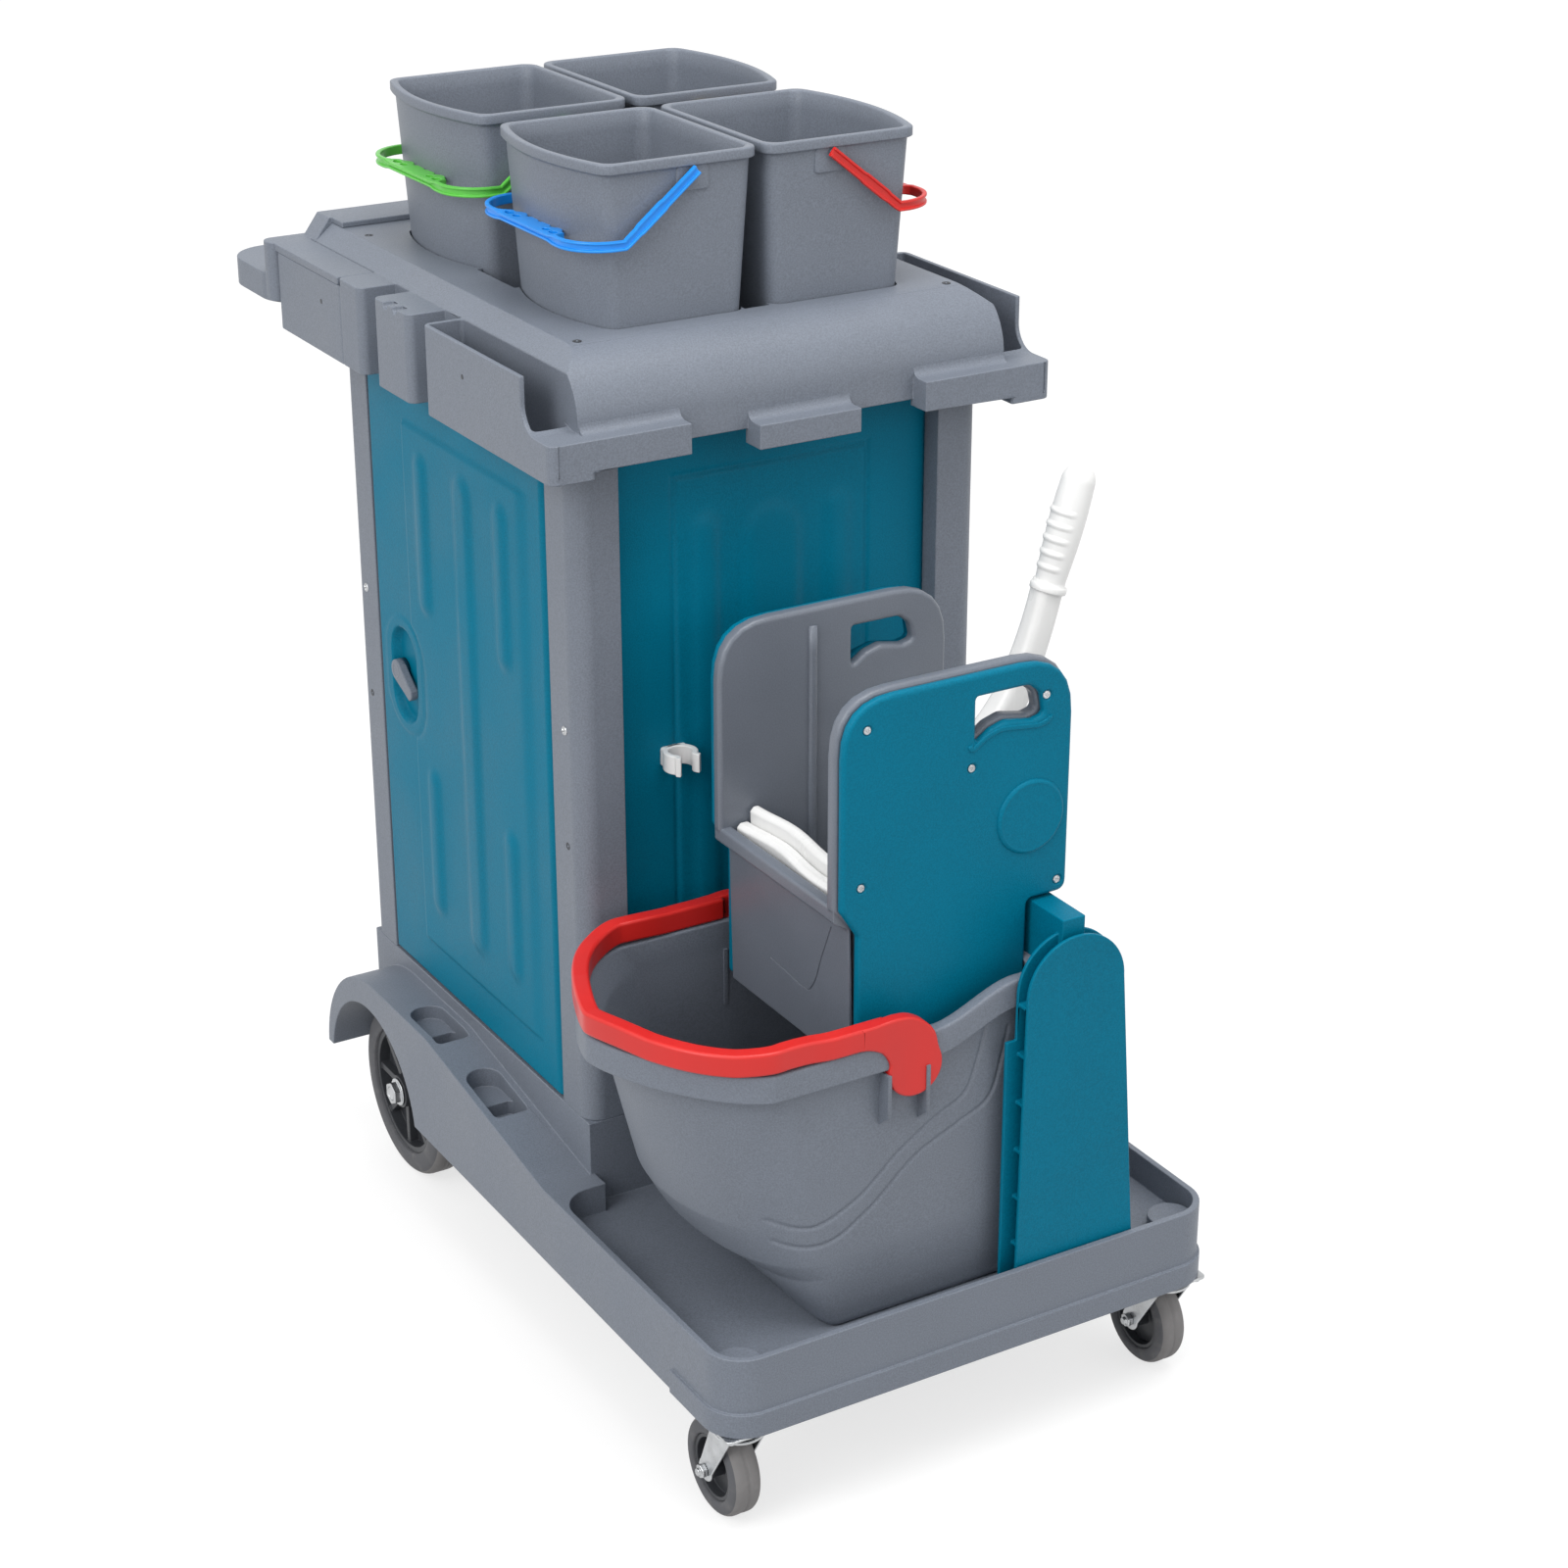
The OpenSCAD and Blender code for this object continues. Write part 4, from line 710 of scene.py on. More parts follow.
# A pail's bail turns on a pin in a pad: the pad's width, height and rise, and the pin's radius and rise
PAIL_PAD = [(34, 24, 0), (34, 24, 3.2), (33.2, 23.2, 3.8), (31.6, 21.6, 4.0)]
PAIL_PIN = [(1.8, 2), (1.8, 8.6), (1.4, 9), (0.5, 9)]
PAD_DOWN = 22.0
PIN_DOWN = 14.0
PIN_ASIDE = 21.0
BAIL_REACH = 125.0
BAIL_SLOPE = 39
BAIL_BEND = 44.0
BAIL_T = 5.0
BAIL_TALL = 10.0
ARM_STEP = (34, 60)
ARM_STEP_RISE = 1.5
GRIP_W = 23.0
GRIP_HALF = 62.0
GRIP_FADE = 14.0
SCALLOP = 6.0
SCALLOP_PITCH = 24.0
GRIP_HOLES = [(-46, 6.5), (-31, 5.5), (31, 5.5), (46, 6.5)]
BAIL_SLOTS = {
    "front_left": "blue_plastic",
    "rear_left": "green_plastic",
    "front_right": "red_plastic",
    "rear_right": "yellow_plastic",
}


def pail_plan(width, length):
    """Outline of a small bucket about its middle, its bulging side to the left"""
    turn = 70
    near = length / 2 - PAIL_R

    def bulge(y):
        return -width / 2 + PAIL_BULGE * (2 * y / length) ** 2

    def arc(x, y, start, stop):
        angles = np.radians(np.linspace(start, stop, 9))
        return [(x + PAIL_R * math.cos(a), y + PAIL_R * math.sin(a)) for a in angles]

    bow_y = near + PAIL_R * math.cos(math.radians(turn))
    corner_x = bulge(bow_y) + PAIL_R * math.sin(math.radians(turn))
    bow = np.linspace(bow_y, -bow_y, 26)[1:-1]
    flat_x = width / 2 - PAIL_R
    points = arc(flat_x, -near, -90, 0) + arc(flat_x, near, 0, 90)
    points += arc(corner_x, near, 90, 90 + turn) + [(bulge(y), y) for y in bow]
    points += arc(corner_x, -near, 270 - turn, 270)
    return np.array(points)


def pail_profile(tall):
    """Up the outside of a pail, over its lip and down the inside: (inset, height) pairs"""
    foot_in = PAIL_LIP + PAIL_DRAFT
    inner = PAIL_LIP + PAIL_WALL
    lip = [(PAIL_LIP - 0.4, 10.4), (0.7, 10), (0.1, 9.4), (0, 8.8), (0, 1.8), (0.2, 0.9), (0.7, 0.3)]
    lip += [(1.6, 0), (5, 0), (6, 0.4), (inner, 2)]
    floor_edge = [(1, 6), (3, 4), (7, 3.2)]
    profile = [(foot_in + 5, 0), (foot_in + 2, 0.8), (foot_in + 0.4, 3), (foot_in - 0.2, 7)]
    profile += [(PAIL_LIP + PAIL_DRAFT * (1 - t), 7 + (tall - 21) * t) for t in np.linspace(0.05, 1, 14)]
    profile += [(inset, tall - down) for inset, down in lip]
    profile += [(inner + PAIL_DRAFT * t, tall - 5 - (tall - 15) * t) for t in np.linspace(0.06, 1, 14)]
    return profile + [(inner + PAIL_DRAFT + inset, z) for inset, z in floor_edge]


def pail(place):
    """A small bucket with a rolled lip and the pads that its bail turns on"""
    node = "pail_" + place
    side = SIDES[place.split("_")[1]]
    low, high = span(node)
    middle = (low + high) / 2
    rings = []
    for inset, z in pail_profile(high[2] - low[2]):
        plan = pail_plan(high[0] - low[0] - 2 * inset, PAIL_L - 2 * inset)
        plan[:, 0] *= -side
        rings.append(np.column_stack([plan + middle[:2], np.full(len(plan), low[2] + z)]))
    parts = [loft(rings)]
    pin_x = middle[0] - side * PIN_ASIDE
    for out in (-1, 1):
        face = middle[1] + out * (PAIL_L / 2 - PAIL_LIP - 3)
        pad = []
        for wide, tall, rise in PAIL_PAD:
            x, z = np.transpose(rounded(wide, tall, 3))
            y = np.full(len(x), face + out * rise)
            pad.append(np.column_stack([pin_x + x, y, high[2] - PAD_DOWN + z]))
        parts.append(loft(pad))
        parts.append(peg(pin_x, high[2] - PIN_DOWN, [(r, face + out * rise) for r, rise in PAIL_PIN]))
    piece = mesh_object("moulded_" + node, parts)
    settle(piece, "grey_plastic", node, [node])


def bail_path(arm_y, drop):
    """Middle line of a bail that reaches to the left of its pins: an arm, a bend, the grip, and back"""
    corner = BAIL_BEND - BAIL_T / 2
    arm = [(2 - 77 * t, arm_y, 1 - (drop + 1) * t) for t in np.linspace(0, 1, 30)]
    bend = [
        (-BAIL_REACH + BAIL_BEND - corner * math.sin(a), arm_y - corner + corner * math.cos(a), -drop)
        for a in np.linspace(0.08, math.pi / 2, 18)
    ]
    grip = [(-BAIL_REACH + BAIL_T / 2, y, -drop) for y in np.linspace(arm_y - corner - 3, 0, 40)[:-1]]
    half = np.array(arm + bend + grip)
    return np.concatenate([half, half[::-1] * (1, -1, 1)])


def bail(place):
    """A bail: ribbed arms that slope down to a grip with finger scallops and holes"""
    node = "bail_" + place
    side = SIDES[place.split("_")[1]]
    low, high = span(node)
    pail_x, pail_y = middle_of("pail_" + place)[:2]
    rim_z = span("pail_" + place)[1][2]
    pivot = np.array([pail_x - side * PIN_ASIDE, pail_y, rim_z - PIN_DOWN])
    arm_y = (high[1] - low[1]) / 2 - BAIL_T / 2
    drop = math.tan(math.radians(BAIL_SLOPE)) * 0.6 * BAIL_REACH
    path = bail_path(arm_y, drop)
    path[:, 0] *= -side
    sections = []
    for x, y, _ in path:
        deep = eased((GRIP_HALF - abs(y)) / GRIP_FADE)
        scallop = SCALLOP * abs(math.sin(math.pi * y / SCALLOP_PITCH)) * eased((GRIP_HALF - 4 - abs(y)) / 6)
        wide = BAIL_T + (GRIP_W - BAIL_T) * deep - (SCALLOP * deep - scallop if deep > 0.2 else 0)
        stepped = abs(y) > arm_y - 1 and ARM_STEP[0] < abs(x) < ARM_STEP[1]
        tall = BAIL_TALL * (1 - 0.3 * deep) + (ARM_STEP_RISE if stepped else 0)
        sections.append(bail_section(wide, tall, side))
    piece = mesh_object("moulded_" + node, [sweep(path + pivot, sections, (0, 0, 1))])
    hole_x = side * (BAIL_REACH - BAIL_T - 4.5) + pivot[0]
    grip_z = pivot[2] - drop
    cutters = []
    for y, radius in GRIP_HOLES:
        plan = np.column_stack([hole_x + radius * 0.6 * np.cos(TURN), pivot[1] + y + radius * np.sin(TURN)])
        cutters.append(upright(plan, grip_z - 12, grip_z + 12))
    carve(piece, cutters)
    soften(piece, 0.5, 2, merged=False)
    settle(piece, BAIL_SLOTS[place], node, [node])


def bail_section(wide, tall, side):
    """Cross section of a bail: a bar with two ridges along its outer face, deepened inwards at the grip"""
    groove, lip = 2.2, 2.4
    half = tall / 2
    outer = BAIL_T / 2
    inner = outer - wide
    points = [
        (outer - 0.6, half), (outer, half - 0.6), (outer, half - lip), (outer - groove, half - lip - 0.5),
        (outer - groove, -half + lip + 0.5), (outer, -half + lip), (outer, -half + 0.6), (outer - 0.6, -half),
        (inner + 1, -half), (inner, -half + 1), (inner, half - 1), (inner + 1, half),
    ]
    return [(-x * side, y) for x, y in points]


for name in PLACES:
    pail(name)
    bail(name)


# Tray details: a pared body, its top sheet, hollow fillets on the front ledges, and dark discs that are
# painted shade where the drain holes are

TRAY_LOW, TRAY_HIGH = span("tray")
TRAY_TOP = TRAY_HIGH[2]
TRAY_Z = TRAY_TOP - 92
TRAY_HALF = (TRAY_HIGH[0] - TRAY_LOW[0]) / 2
TOP_HALF = 215.0
TOP_END = TRAY_HIGH[1] - 45
TOP_BEND = 12
FASCIA_Y = TRAY_LOW[1] + 23
FASCIA_R = 62.0
FILLET_R = 9.0
CORNER_H = 23
CATCH_H = 9
CATCH_HALF = 56
# Spots and profile of the dark discs: painted shade standing in for small drain holes
DRAIN_SPOTS = [(-50, TRAY_Z + 44), (285, TRAY_Z + 40)]
DRAIN = [(2.6, -1), (2.6, 0.1), (2.2, 0.25), (0.4, 0.1)]


def ledge_fillets():
    """Hollow fillets where the three ledges meet the tray's front"""
    arc = [
        (-FILLET_R + FILLET_R * math.cos(a), FILLET_R + FILLET_R * math.sin(a))
        for a in np.linspace(0, -math.pi / 2, 9)
    ]
    section = [(1, -1), (1, FILLET_R)] + arc + [(-FILLET_R, -1)]
    outer, inner = TRAY_HALF - 42, TRAY_HALF - 147
    ledges = [(-outer, -inner, CORNER_H), (-CATCH_HALF, CATCH_HALF, CATCH_H), (inner, outer, CORNER_H)]
    parts = []
    for x0, x1, height in ledges:
        placed = [(FASCIA_Y + y, TRAY_Z + height + z) for y, z in section]
        parts.append(crossways(placed, CENTRE_X + x0, CENTRE_X + x1))
    piece = mesh_object("ledge_fillets", parts)
    soften(piece, 0.4, 2)
    settle(piece, "grey_plastic", CART)


def tray_body():
    """The tray with its pierced top pared down under the top sheet"""
    source = frame["nodes"]["tray"]
    piece = new_object("moulded_tray", source.data.copy())
    piece.matrix_world = source.matrix_world.copy()
    pared, margin = 3.0, 4.0
    half = TOP_HALF - margin
    front = FASCIA_Y + FASCIA_R - TOP_BEND + margin
    plan = oblong(CENTRE_X - half, CENTRE_X + half, front, TOP_END - margin)
    carve(piece, [upright(plan, TRAY_TOP - pared, TRAY_TOP + pared)])
    soften(piece, CAD_EDGE)
    settle(piece, "grey_plastic", CART, ["tray"])


def tray_top():
    """The tray's top sheet: it bends down over the front, and is cut to the small buckets with a thin gap"""
    gap, thick, proud = 1.6, 4.0, 0.12
    top = TRAY_TOP + proud
    crest_y = FASCIA_Y + FASCIA_R
    upper = [
        (crest_y - d, top - FASCIA_R + math.sqrt(FASCIA_R ** 2 - d ** 2)) for d in range(TOP_BEND, -1, -2)
    ]
    upper.append((TOP_END, top))
    section = upper + [(y, z - thick) for y, z in reversed(upper)]
    half = TOP_HALF - 1.5
    piece = mesh_object("tray_top", [crossways(section, CENTRE_X - half, CENTRE_X + half)])

    def cut(plan):
        carve(piece, [upright(plan, top - 3 * thick, top + thick)])

    boxes = [span("pail_" + place) for place in PLACES]
    low = np.min([box[0] for box in boxes], axis=0)
    high = np.max([box[1] for box in boxes], axis=0)
    inset = PAIL_LIP + PAIL_DRAFT * (1 - (top - low[2]) / (high[2] - low[2]))
    grow = 2 * (gap - inset)
    for pail_low, pail_high in boxes:
        centre = (pail_low + pail_high) / 2
        plan = pail_plan(pail_high[0] - pail_low[0] + grow, PAIL_L + grow)
        plan[:, 0] *= np.sign(CENTRE_X - centre[0])
        cut(plan + centre[:2])
    room = inset + 8
    middle_y = (low[1] + high[1]) / 2
    cut(oblong(CENTRE_X - 14, CENTRE_X + 14, low[1] + room, high[1] - room))
    cut(oblong(low[0] + room, high[0] - room, middle_y - 42, middle_y + 42))
    settle(crisp(piece), "grey_plastic", CART)


def drain_hole_painted_shade():
    """Dark discs on the outer walls of the bins and of the tail: painted shade where small drain holes are"""
    parts = [
        disc((CENTRE_X + side * TRAY_HALF, y, z), (side, 0, 0), DRAIN, 20)
        for side in SIDES.values() for y, z in DRAIN_SPOTS
    ]
    settle(mesh_object("drain_hole_painted_shade", parts), "dark_plastic", CART)


ledge_fillets()
tray_body()
tray_top()
drain_hole_painted_shade()


# Mop bucket: a lofted shell with a pouring nose, a skirted lip and two flowing grooves

MOP_LOW, MOP_HIGH = span("mop_bucket")
MOP_Y = (MOP_LOW[1] + MOP_HIGH[1]) / 2
NOSE_X, MOP_END = MOP_LOW[0], MOP_HIGH[0]
FLOOR_Z = MOP_LOW[2]
MOP_HALF = 148.0
LIP_OUT = 10.0
LIP_RISE = 28.0
LIP_Z = MOP_HIGH[2] - LIP_RISE
LIP_SKIRT = 28.0
MOP_WALL = 4.0
PIVOT_X = NOSE_X + 261
PIVOT_Z = LIP_Z - 32
END_R = 34.0
FIN_OUT = 15.0
FIN_T = 4.0
# Outline of the bucket at a few heights: height, nose, depth of the nose, half width, and its squareness
MOP_LEVELS = np.array([
    (0.00, 177, 25, MOP_HALF - 8, 5.0),
    (0.08, 159, 34, MOP_HALF - 6, 4.0),
    (0.20, 124, 60, MOP_HALF - 4, 2.6),
    (0.26, 98, 76, MOP_HALF - 3, 2.2),
    (0.39, 74, 90, MOP_HALF - 2, 1.9),
    (0.91, 28, 100, MOP_HALF, 1.6),
])
# The two grooves that flow along each long side, as (x, z) points
MOP_GROOVES = [
    [(-232, 345), (-186, 306), (-143, 294), (-98, 310), (-49, 350), (-9, 375), (22, 391), (36, 424),
     (44, 456)],
    [(-220, 312), (-166, 276), (-123, 273), (-88, 292), (-28, 341), (17, 361), (48, 376), (64, 420),
     (70, 450)],
]
# The lip's section: how far out it stands and its height over the lip's line
MOP_LIP = [
    (LIP_OUT - 1.5, -LIP_SKIRT + 1), (LIP_OUT - 0.3, -LIP_SKIRT), (LIP_OUT + 0.6, -LIP_SKIRT + 1.5),
    (LIP_OUT, -6), (LIP_OUT, -2.5), (LIP_OUT - 1, -0.7), (LIP_OUT - 3, 0), (1, 0), (-3, -0.6), (-5, -3),
]


def lip_lift(x):
    """Rise of the lip towards the straight end"""
    return LIP_RISE * eased((x - PIVOT_X - 24) / 94)


def mop_ring(nose, tip, end, half, power, z, lifted):
    """One closed ring of the bucket: blunt on the right, a nose on the left"""
    def bent(value, exponent):
        return np.sign(value) * np.abs(value) ** (2 / exponent)
    side_n = 190
    blunt = np.radians(np.linspace(-90, 90, 29))
    round_nose = np.radians(np.linspace(90, 270, 97))
    x = np.concatenate([
        end - END_R + END_R * bent(np.cos(blunt), 3.0),
        np.linspace(end - END_R, nose + tip, side_n)[1:-1],
        nose + tip + tip * bent(np.cos(round_nose), power),
        np.linspace(nose + tip, end - END_R, side_n)[1:-1],
    ])
    y = np.concatenate([
        half * bent(np.sin(blunt), 3.0), np.full(side_n - 2, half),
        half * bent(np.sin(round_nose), power), np.full(side_n - 2, -half),
    ])
    height = np.full_like(x, z) + (lip_lift(x) if lifted else 0)
    return np.column_stack([x, MOP_Y + y, height])


def mop_level(share, inset):
    """The body's ring at a share of its height, drawn inwards by a wall"""
    nose, tip, half, power = (
        np.interp(share, MOP_LEVELS[:, 0], MOP_LEVELS[:, k]) for k in (1, 2, 3, 4)
    )
    end = MOP_END - 8 + 4 * share - inset
    ring = mop_ring(NOSE_X + nose + inset, tip, end, half - inset, power, 0, False)
    ring[:, 2] = FLOOR_Z + share * (LIP_Z - FLOOR_Z) + lip_lift(ring[:, 0]) * eased((share - 0.5) / 0.4)
    return ring


def groove_depth(ring, lines):
    """How deep the flowing grooves cut each point of a ring on the bucket's long sides"""
    deep, wide = 1.9, 1.7
    depth = np.zeros(len(ring))
    on_side = np.abs(ring[:, 1] - MOP_Y) > MOP_HALF * 0.86
    for line in lines:
        gaps = np.hypot(ring[:, None, 0] - line[None, :, 0], ring[:, None, 2] - line[None, :, 1])
        depth = np.maximum(depth, deep * np.exp(-(gaps.min(axis=1) / wide) ** 2))
    return depth * on_side


def mop_bucket():
    """The bucket's shell with its grooves and lip, and the fins and pads under the bail's pivots"""
    lines = [curved(line, 260) for line in MOP_GROOVES]
    share_top = (LIP_Z - LIP_SKIRT - FLOOR_Z) / (LIP_Z - FLOOR_Z)
    rings = [mop_level(share, inset) for share, inset in ((0, 7), (0.002, 3), (0.008, 0.8))]
    for share in np.linspace(0.022, share_top, 190):
        ring = mop_level(share, 0)
        ring[:, 1] -= np.sign(ring[:, 1] - MOP_Y) * groove_depth(ring, lines)
        rings.append(ring)
    for out, rise in MOP_LIP:
        inset = LIP_OUT - out
        rings.append(mop_ring(
            NOSE_X + inset + 0.2, 112 - inset * 0.8, MOP_END - inset, MOP_HALF + out, 1.45 + inset * 0.01,
            LIP_Z + rise, True,
        ))
    rings += [mop_level(share, MOP_WALL) for share in np.linspace(share_top, 0.05, 30)]
    rings.append(mop_level(0.02, MOP_WALL + 6))
    parts = [loft(rings)]
    for out in (-1, 1):
        face = MOP_Y + out * MOP_HALF
        for x, foot in ((PIVOT_X - 30, -53), (PIVOT_X + 13, -58)):
            fin = [(-6, 0), (FIN_OUT, 0), (FIN_OUT, foot + 9), (-6, foot - 9)]
            section = [(face + out * depth, PIVOT_Z + z) for depth, z in fin]
            parts.append(crossways(section, x - FIN_T / 2, x + FIN_T / 2))
        parts.append(peg(PIVOT_X, PIVOT_Z, [(8, face - out * 3), (8, face + out * 8)]))
    piece = crisp(mesh_object("moulded_mop_bucket", parts))
    settle(piece, "grey_plastic", CART, ["mop_bucket"])


mop_bucket()


# The bucket's bail: a thick band that waves along the lip and ends in round paddles

BAIL_W = 17.0
BAIL_H = 23.0
HUB_R = 29.5
PADDLE_PROUD = 0.2
SWAY = 2.0
HEAVE = 2.2
WAVES = 3.5


def paddle_outline(top, bottom):
    """Side view of a paddle: the band flows over the hub and turns down round it"""
    over = [(-60, -0.4), (-40, 0.3), (-21, 1.5), (-6, -0.5), (8, -8), (20, -21)]
    under = [(-31, -16), (-36, -9), (-44, -4), (-52, -1), (-60, 0.4)]
    points = [(PIVOT_X + x, top + z) for x, z in over]
    for angle in np.radians(np.linspace(26, -196, 30)):
        points.append((PIVOT_X + HUB_R * math.cos(angle), PIVOT_Z + HUB_R * math.sin(angle)))
    points += [(PIVOT_X + x, bottom + z) for x, z in under]
    return curved(points, 130)


def mop_bail():
    """The red band, which sways and heaves a little round the nose, with a paddle at each end"""
    outer = MOP_HALF + 13.3
    middle = outer - BAIL_W / 2
    nose = NOSE_X - 2 + BAIL_W / 2
    tip = 108.0
    blunt = 2 / 1.5
    base = LIP_Z + 0.4 + BAIL_H / 2
    side = [(x, middle, base) for x in np.linspace(PIVOT_X - 30, nose + tip, 14)]
    bend = [
        (nose + tip - tip * abs(math.cos(a)) ** blunt, middle * abs(math.sin(a)) ** blunt, base)
        for a in np.radians(np.linspace(92, 180, 40))
    ]
    half = np.array(side + bend)
    path = curved(np.concatenate([half, half[-2::-1] * (1, -1, 1)]), 260)
    run = np.concatenate([[0], np.cumsum(np.linalg.norm(np.diff(path, axis=0), axis=1))])
    share = np.abs(run / run[-1] - 0.5) * 2
    calm = eased((0.86 - share) / 0.12)
    phase = share * math.pi * WAVES
    ahead = unit(np.gradient(path, axis=0))
    aside = np.column_stack([-ahead[:, 1], ahead[:, 0], np.zeros(len(path))])
    path += aside * (SWAY * np.sin(phase) * calm)[:, None]
    path[:, 2] += np.maximum(HEAVE * np.sin(phase + 0.6), -0.2) * calm
    path[:, 1] += MOP_Y
    band = bar(path, rounded(BAIL_W, BAIL_H, 3.4, 6), (0, 0, 1))
    thick = outer - MOP_HALF
    outline = paddle_outline(base + BAIL_H / 2, base - BAIL_H / 2)
    aside_y = outer + PADDLE_PROUD - thick / 2
    paddles = [plate([outline], thick, 2.6, facing_front(MOP_Y + out * aside_y)) for out in (-1, 1)]
    piece = even_shading(joined("moulded_mop_bail", paddles, [band]))
    settle(piece, "red_plastic", "mop_bucket_bail", ["mop_bail"])


mop_bail()


# Wringer: two grey side plates round a trough, teal covers, white jaws and lever

PRESS_LOW, PRESS_HIGH = span("press_body")
COVER_T = 10.0
PLATE_T = 14.0
WALL_OUT = 5.0
SHEET_T = 6.0
SHOULDER_Z = PRESS_LOW[2] + 132
NECK_X0 = PRESS_LOW[0] + 22
NECK_X1 = PRESS_HIGH[0] - 45
PRESS_MID = (PRESS_LOW[1] + PRESS_HIGH[1]) / 2
PLATE_OUT = (PRESS_HIGH[1] - PRESS_LOW[1]) / 2
PLATE_IN = PLATE_OUT - PLATE_T
AXLE_X = PRESS_HIGH[0] - 48
AXLE_Z = SHOULDER_Z + 90
CRANK_L = 61.0
CRANK_TURN = math.radians(35)
COVER_SPOTS = [
    (PRESS_LOW[0] + 29, PRESS_HIGH[2] - 33), (PRESS_HIGH[0] - 33, PRESS_HIGH[2] - 39),
    (PRESS_LOW[0] + 143, PRESS_HIGH[2] - 95), (PRESS_LOW[0] + 24, SHOULDER_Z + 60),
    (PRESS_HIGH[0] - 14, SHOULDER_Z + 16),
]


def plate_rim(inset, neck_in):
    """Rim of a side plate: rounded top, a slanted left shoulder and a square right one, on a narrow neck"""
    left, right = PRESS_LOW[0] + inset, PRESS_HIGH[0] - inset
    bottom, top = PRESS_LOW[2] + inset, PRESS_HIGH[2] - inset
    neck0, neck1 = NECK_X0 + neck_in, NECK_X1 - inset
    return rounded_outline([
        (neck0, bottom, 6), (neck1, bottom, 6), (neck1, SHOULDER_Z + inset, 7),
        (right, SHOULDER_Z + inset, 12), (right, top, 62 - inset), (left, top, 58 - inset),
        (left, SHOULDER_Z + 36 + inset, 9), (neck0, SHOULDER_Z + 8 + inset, 9),
    ])


def hand_hole(grow):
    """A grip hole whose lower edge humps up under the palm"""
    x0, x1 = PRESS_LOW[0] + 149 - grow, PRESS_LOW[0] + 220 + grow
    z1 = PRESS_HIGH[2] - 28 + grow
    z0 = PRESS_HIGH[2] - 70 - grow
    return rounded_outline([
        (x0, z0, 4), (x0 + 17, z0 + 12, 12), (x0 + 34, z0 + 17, 14), (x1 - 12, z0 + 12, 10),
        (x1, z0 + 15, 5), (x1 - 4, z1 - 10, 14), (x1 - 17, z1, 12), (x0, z1, 4),
    ])


def grooved(wall, wall_x):
    """The trough's left wall with a line pressed into it"""
    line = [(34, -76), (2, -78.5), (-26, -81), (-37, -79.5), (-44, -72), (-62, -33), (-80, 6)]
    run = curved([(PRESS_MID + y, SHOULDER_Z + z) for y, z in line], 60)
    slope = 3 / (SHOULDER_Z + 15 - PRESS_LOW[2])
    path = np.column_stack([wall_x + 3 - slope * (run[:, 1] - PRESS_LOW[2]), run])
    return carved(wall, [bar(path, rounded(1.8, 2.4, 0.8, 3), (1, 0, 0))])


def press_body():
    """The two side plates with a rib inside each, and the trough's walls and floor between them"""
    left, right, bottom = PRESS_LOW[0] + 1, PRESS_HIGH[0], PRESS_LOW[2]
    meshes = []
    for out in (-1, 1):
        y = PRESS_MID + out * (PLATE_OUT - PLATE_T / 2)
        meshes.append(plate([plate_rim(0, 4), hand_hole(0)], PLATE_T, 4.5, facing_front(y)))
    wall_x = NECK_X0 - WALL_OUT
    left_wall = [
        (wall_x + 3, bottom, 2), (NECK_X0 + 2, bottom, 1), (NECK_X0 - 2, SHOULDER_Z + 18, 6),
        (NECK_X0 - 9, SHOULDER_Z + 40, 3), (left, SHOULDER_Z + 40, 4), (left, SHOULDER_Z + 25, 5),
        (wall_x, SHOULDER_Z + 15, 6),
    ]
    base = oblong(NECK_X0, NECK_X1, bottom, bottom + SHEET_T)
    right_wall = [
        (NECK_X1 - SHEET_T, bottom), (NECK_X1, bottom), (NECK_X1, SHOULDER_Z), (right, SHOULDER_Z),
        (right, SHOULDER_Z + 24), (right - SHEET_T, SHOULDER_Z + 24),
        (right - SHEET_T, SHOULDER_Z + SHEET_T), (NECK_X1 - SHEET_T, SHOULDER_Z + SHEET_T),
    ]
    wall = plate([rounded_outline(left_wall)], 2 * PLATE_OUT - 3, 0.9, facing_front(PRESS_MID))
    meshes.append(grooved(wall, wall_x))
    for outline in (base, right_wall):
        meshes.append(plate([outline], 2 * PLATE_IN + 2, 0.9, facing_front(PRESS_MID)))
    parts = []
    for out in (-1, 1):
        face = PRESS_MID + out * PLATE_IN
        rib = [(PRESS_LOW[0] + 104, face, z) for z in np.linspace(SHOULDER_Z - 60, PRESS_HIGH[2] - 18, 12)]
        parts.append(bar(rib, rounded(9, 8, 3.5), (0, 1, 0)))
    piece = even_shading(joined("moulded_press_body", meshes, parts))
    settle(piece, "grey_plastic", "wringer", ["press_body"], press_grey)


def press_cover(end_name):
    """A teal cover with soft edges, a grip hole and a raised disc over the axle's end"""
    node = "press_cover_" + end_name
    out = ENDS[end_name]
    middle = PRESS_MID + out * (PLATE_OUT + COVER_T / 2)
    face = PRESS_MID + out * (PLATE_OUT + COVER_T)
    sink = [(4.8, -1.8), (6.0, -0.4), (6.3, 0.5)]
    rise = [(38, -1), (37.4, 0.8), (36.2, 2.2), (34.6, 2.9), (33.4, 2.8), (32.4, 2.4), (4, 2.2)]
    sheet = plate([plate_rim(3, -1), hand_hole(2.5)], COVER_T, 4.2, facing_front(middle))
    sheet = carved(sheet, [disc((x, face, z), (0, out, 0), sink) for x, z in COVER_SPOTS])
    brow = np.array([(x, face, z) for x, z in hand_hole(9) if z < PRESS_HIGH[2] - 44])
    parts = [
        disc((AXLE_X, face, AXLE_Z), (0, out, 0), rise, 64),
        bar(curved(brow, 40), rounded(5, 2.4, 1.1, 4), (0, 1, 0)),
    ]
    piece = even_shading(joined("moulded_" + node, [sheet], parts))
    settle(piece, "teal_plastic", "wringer", [node])


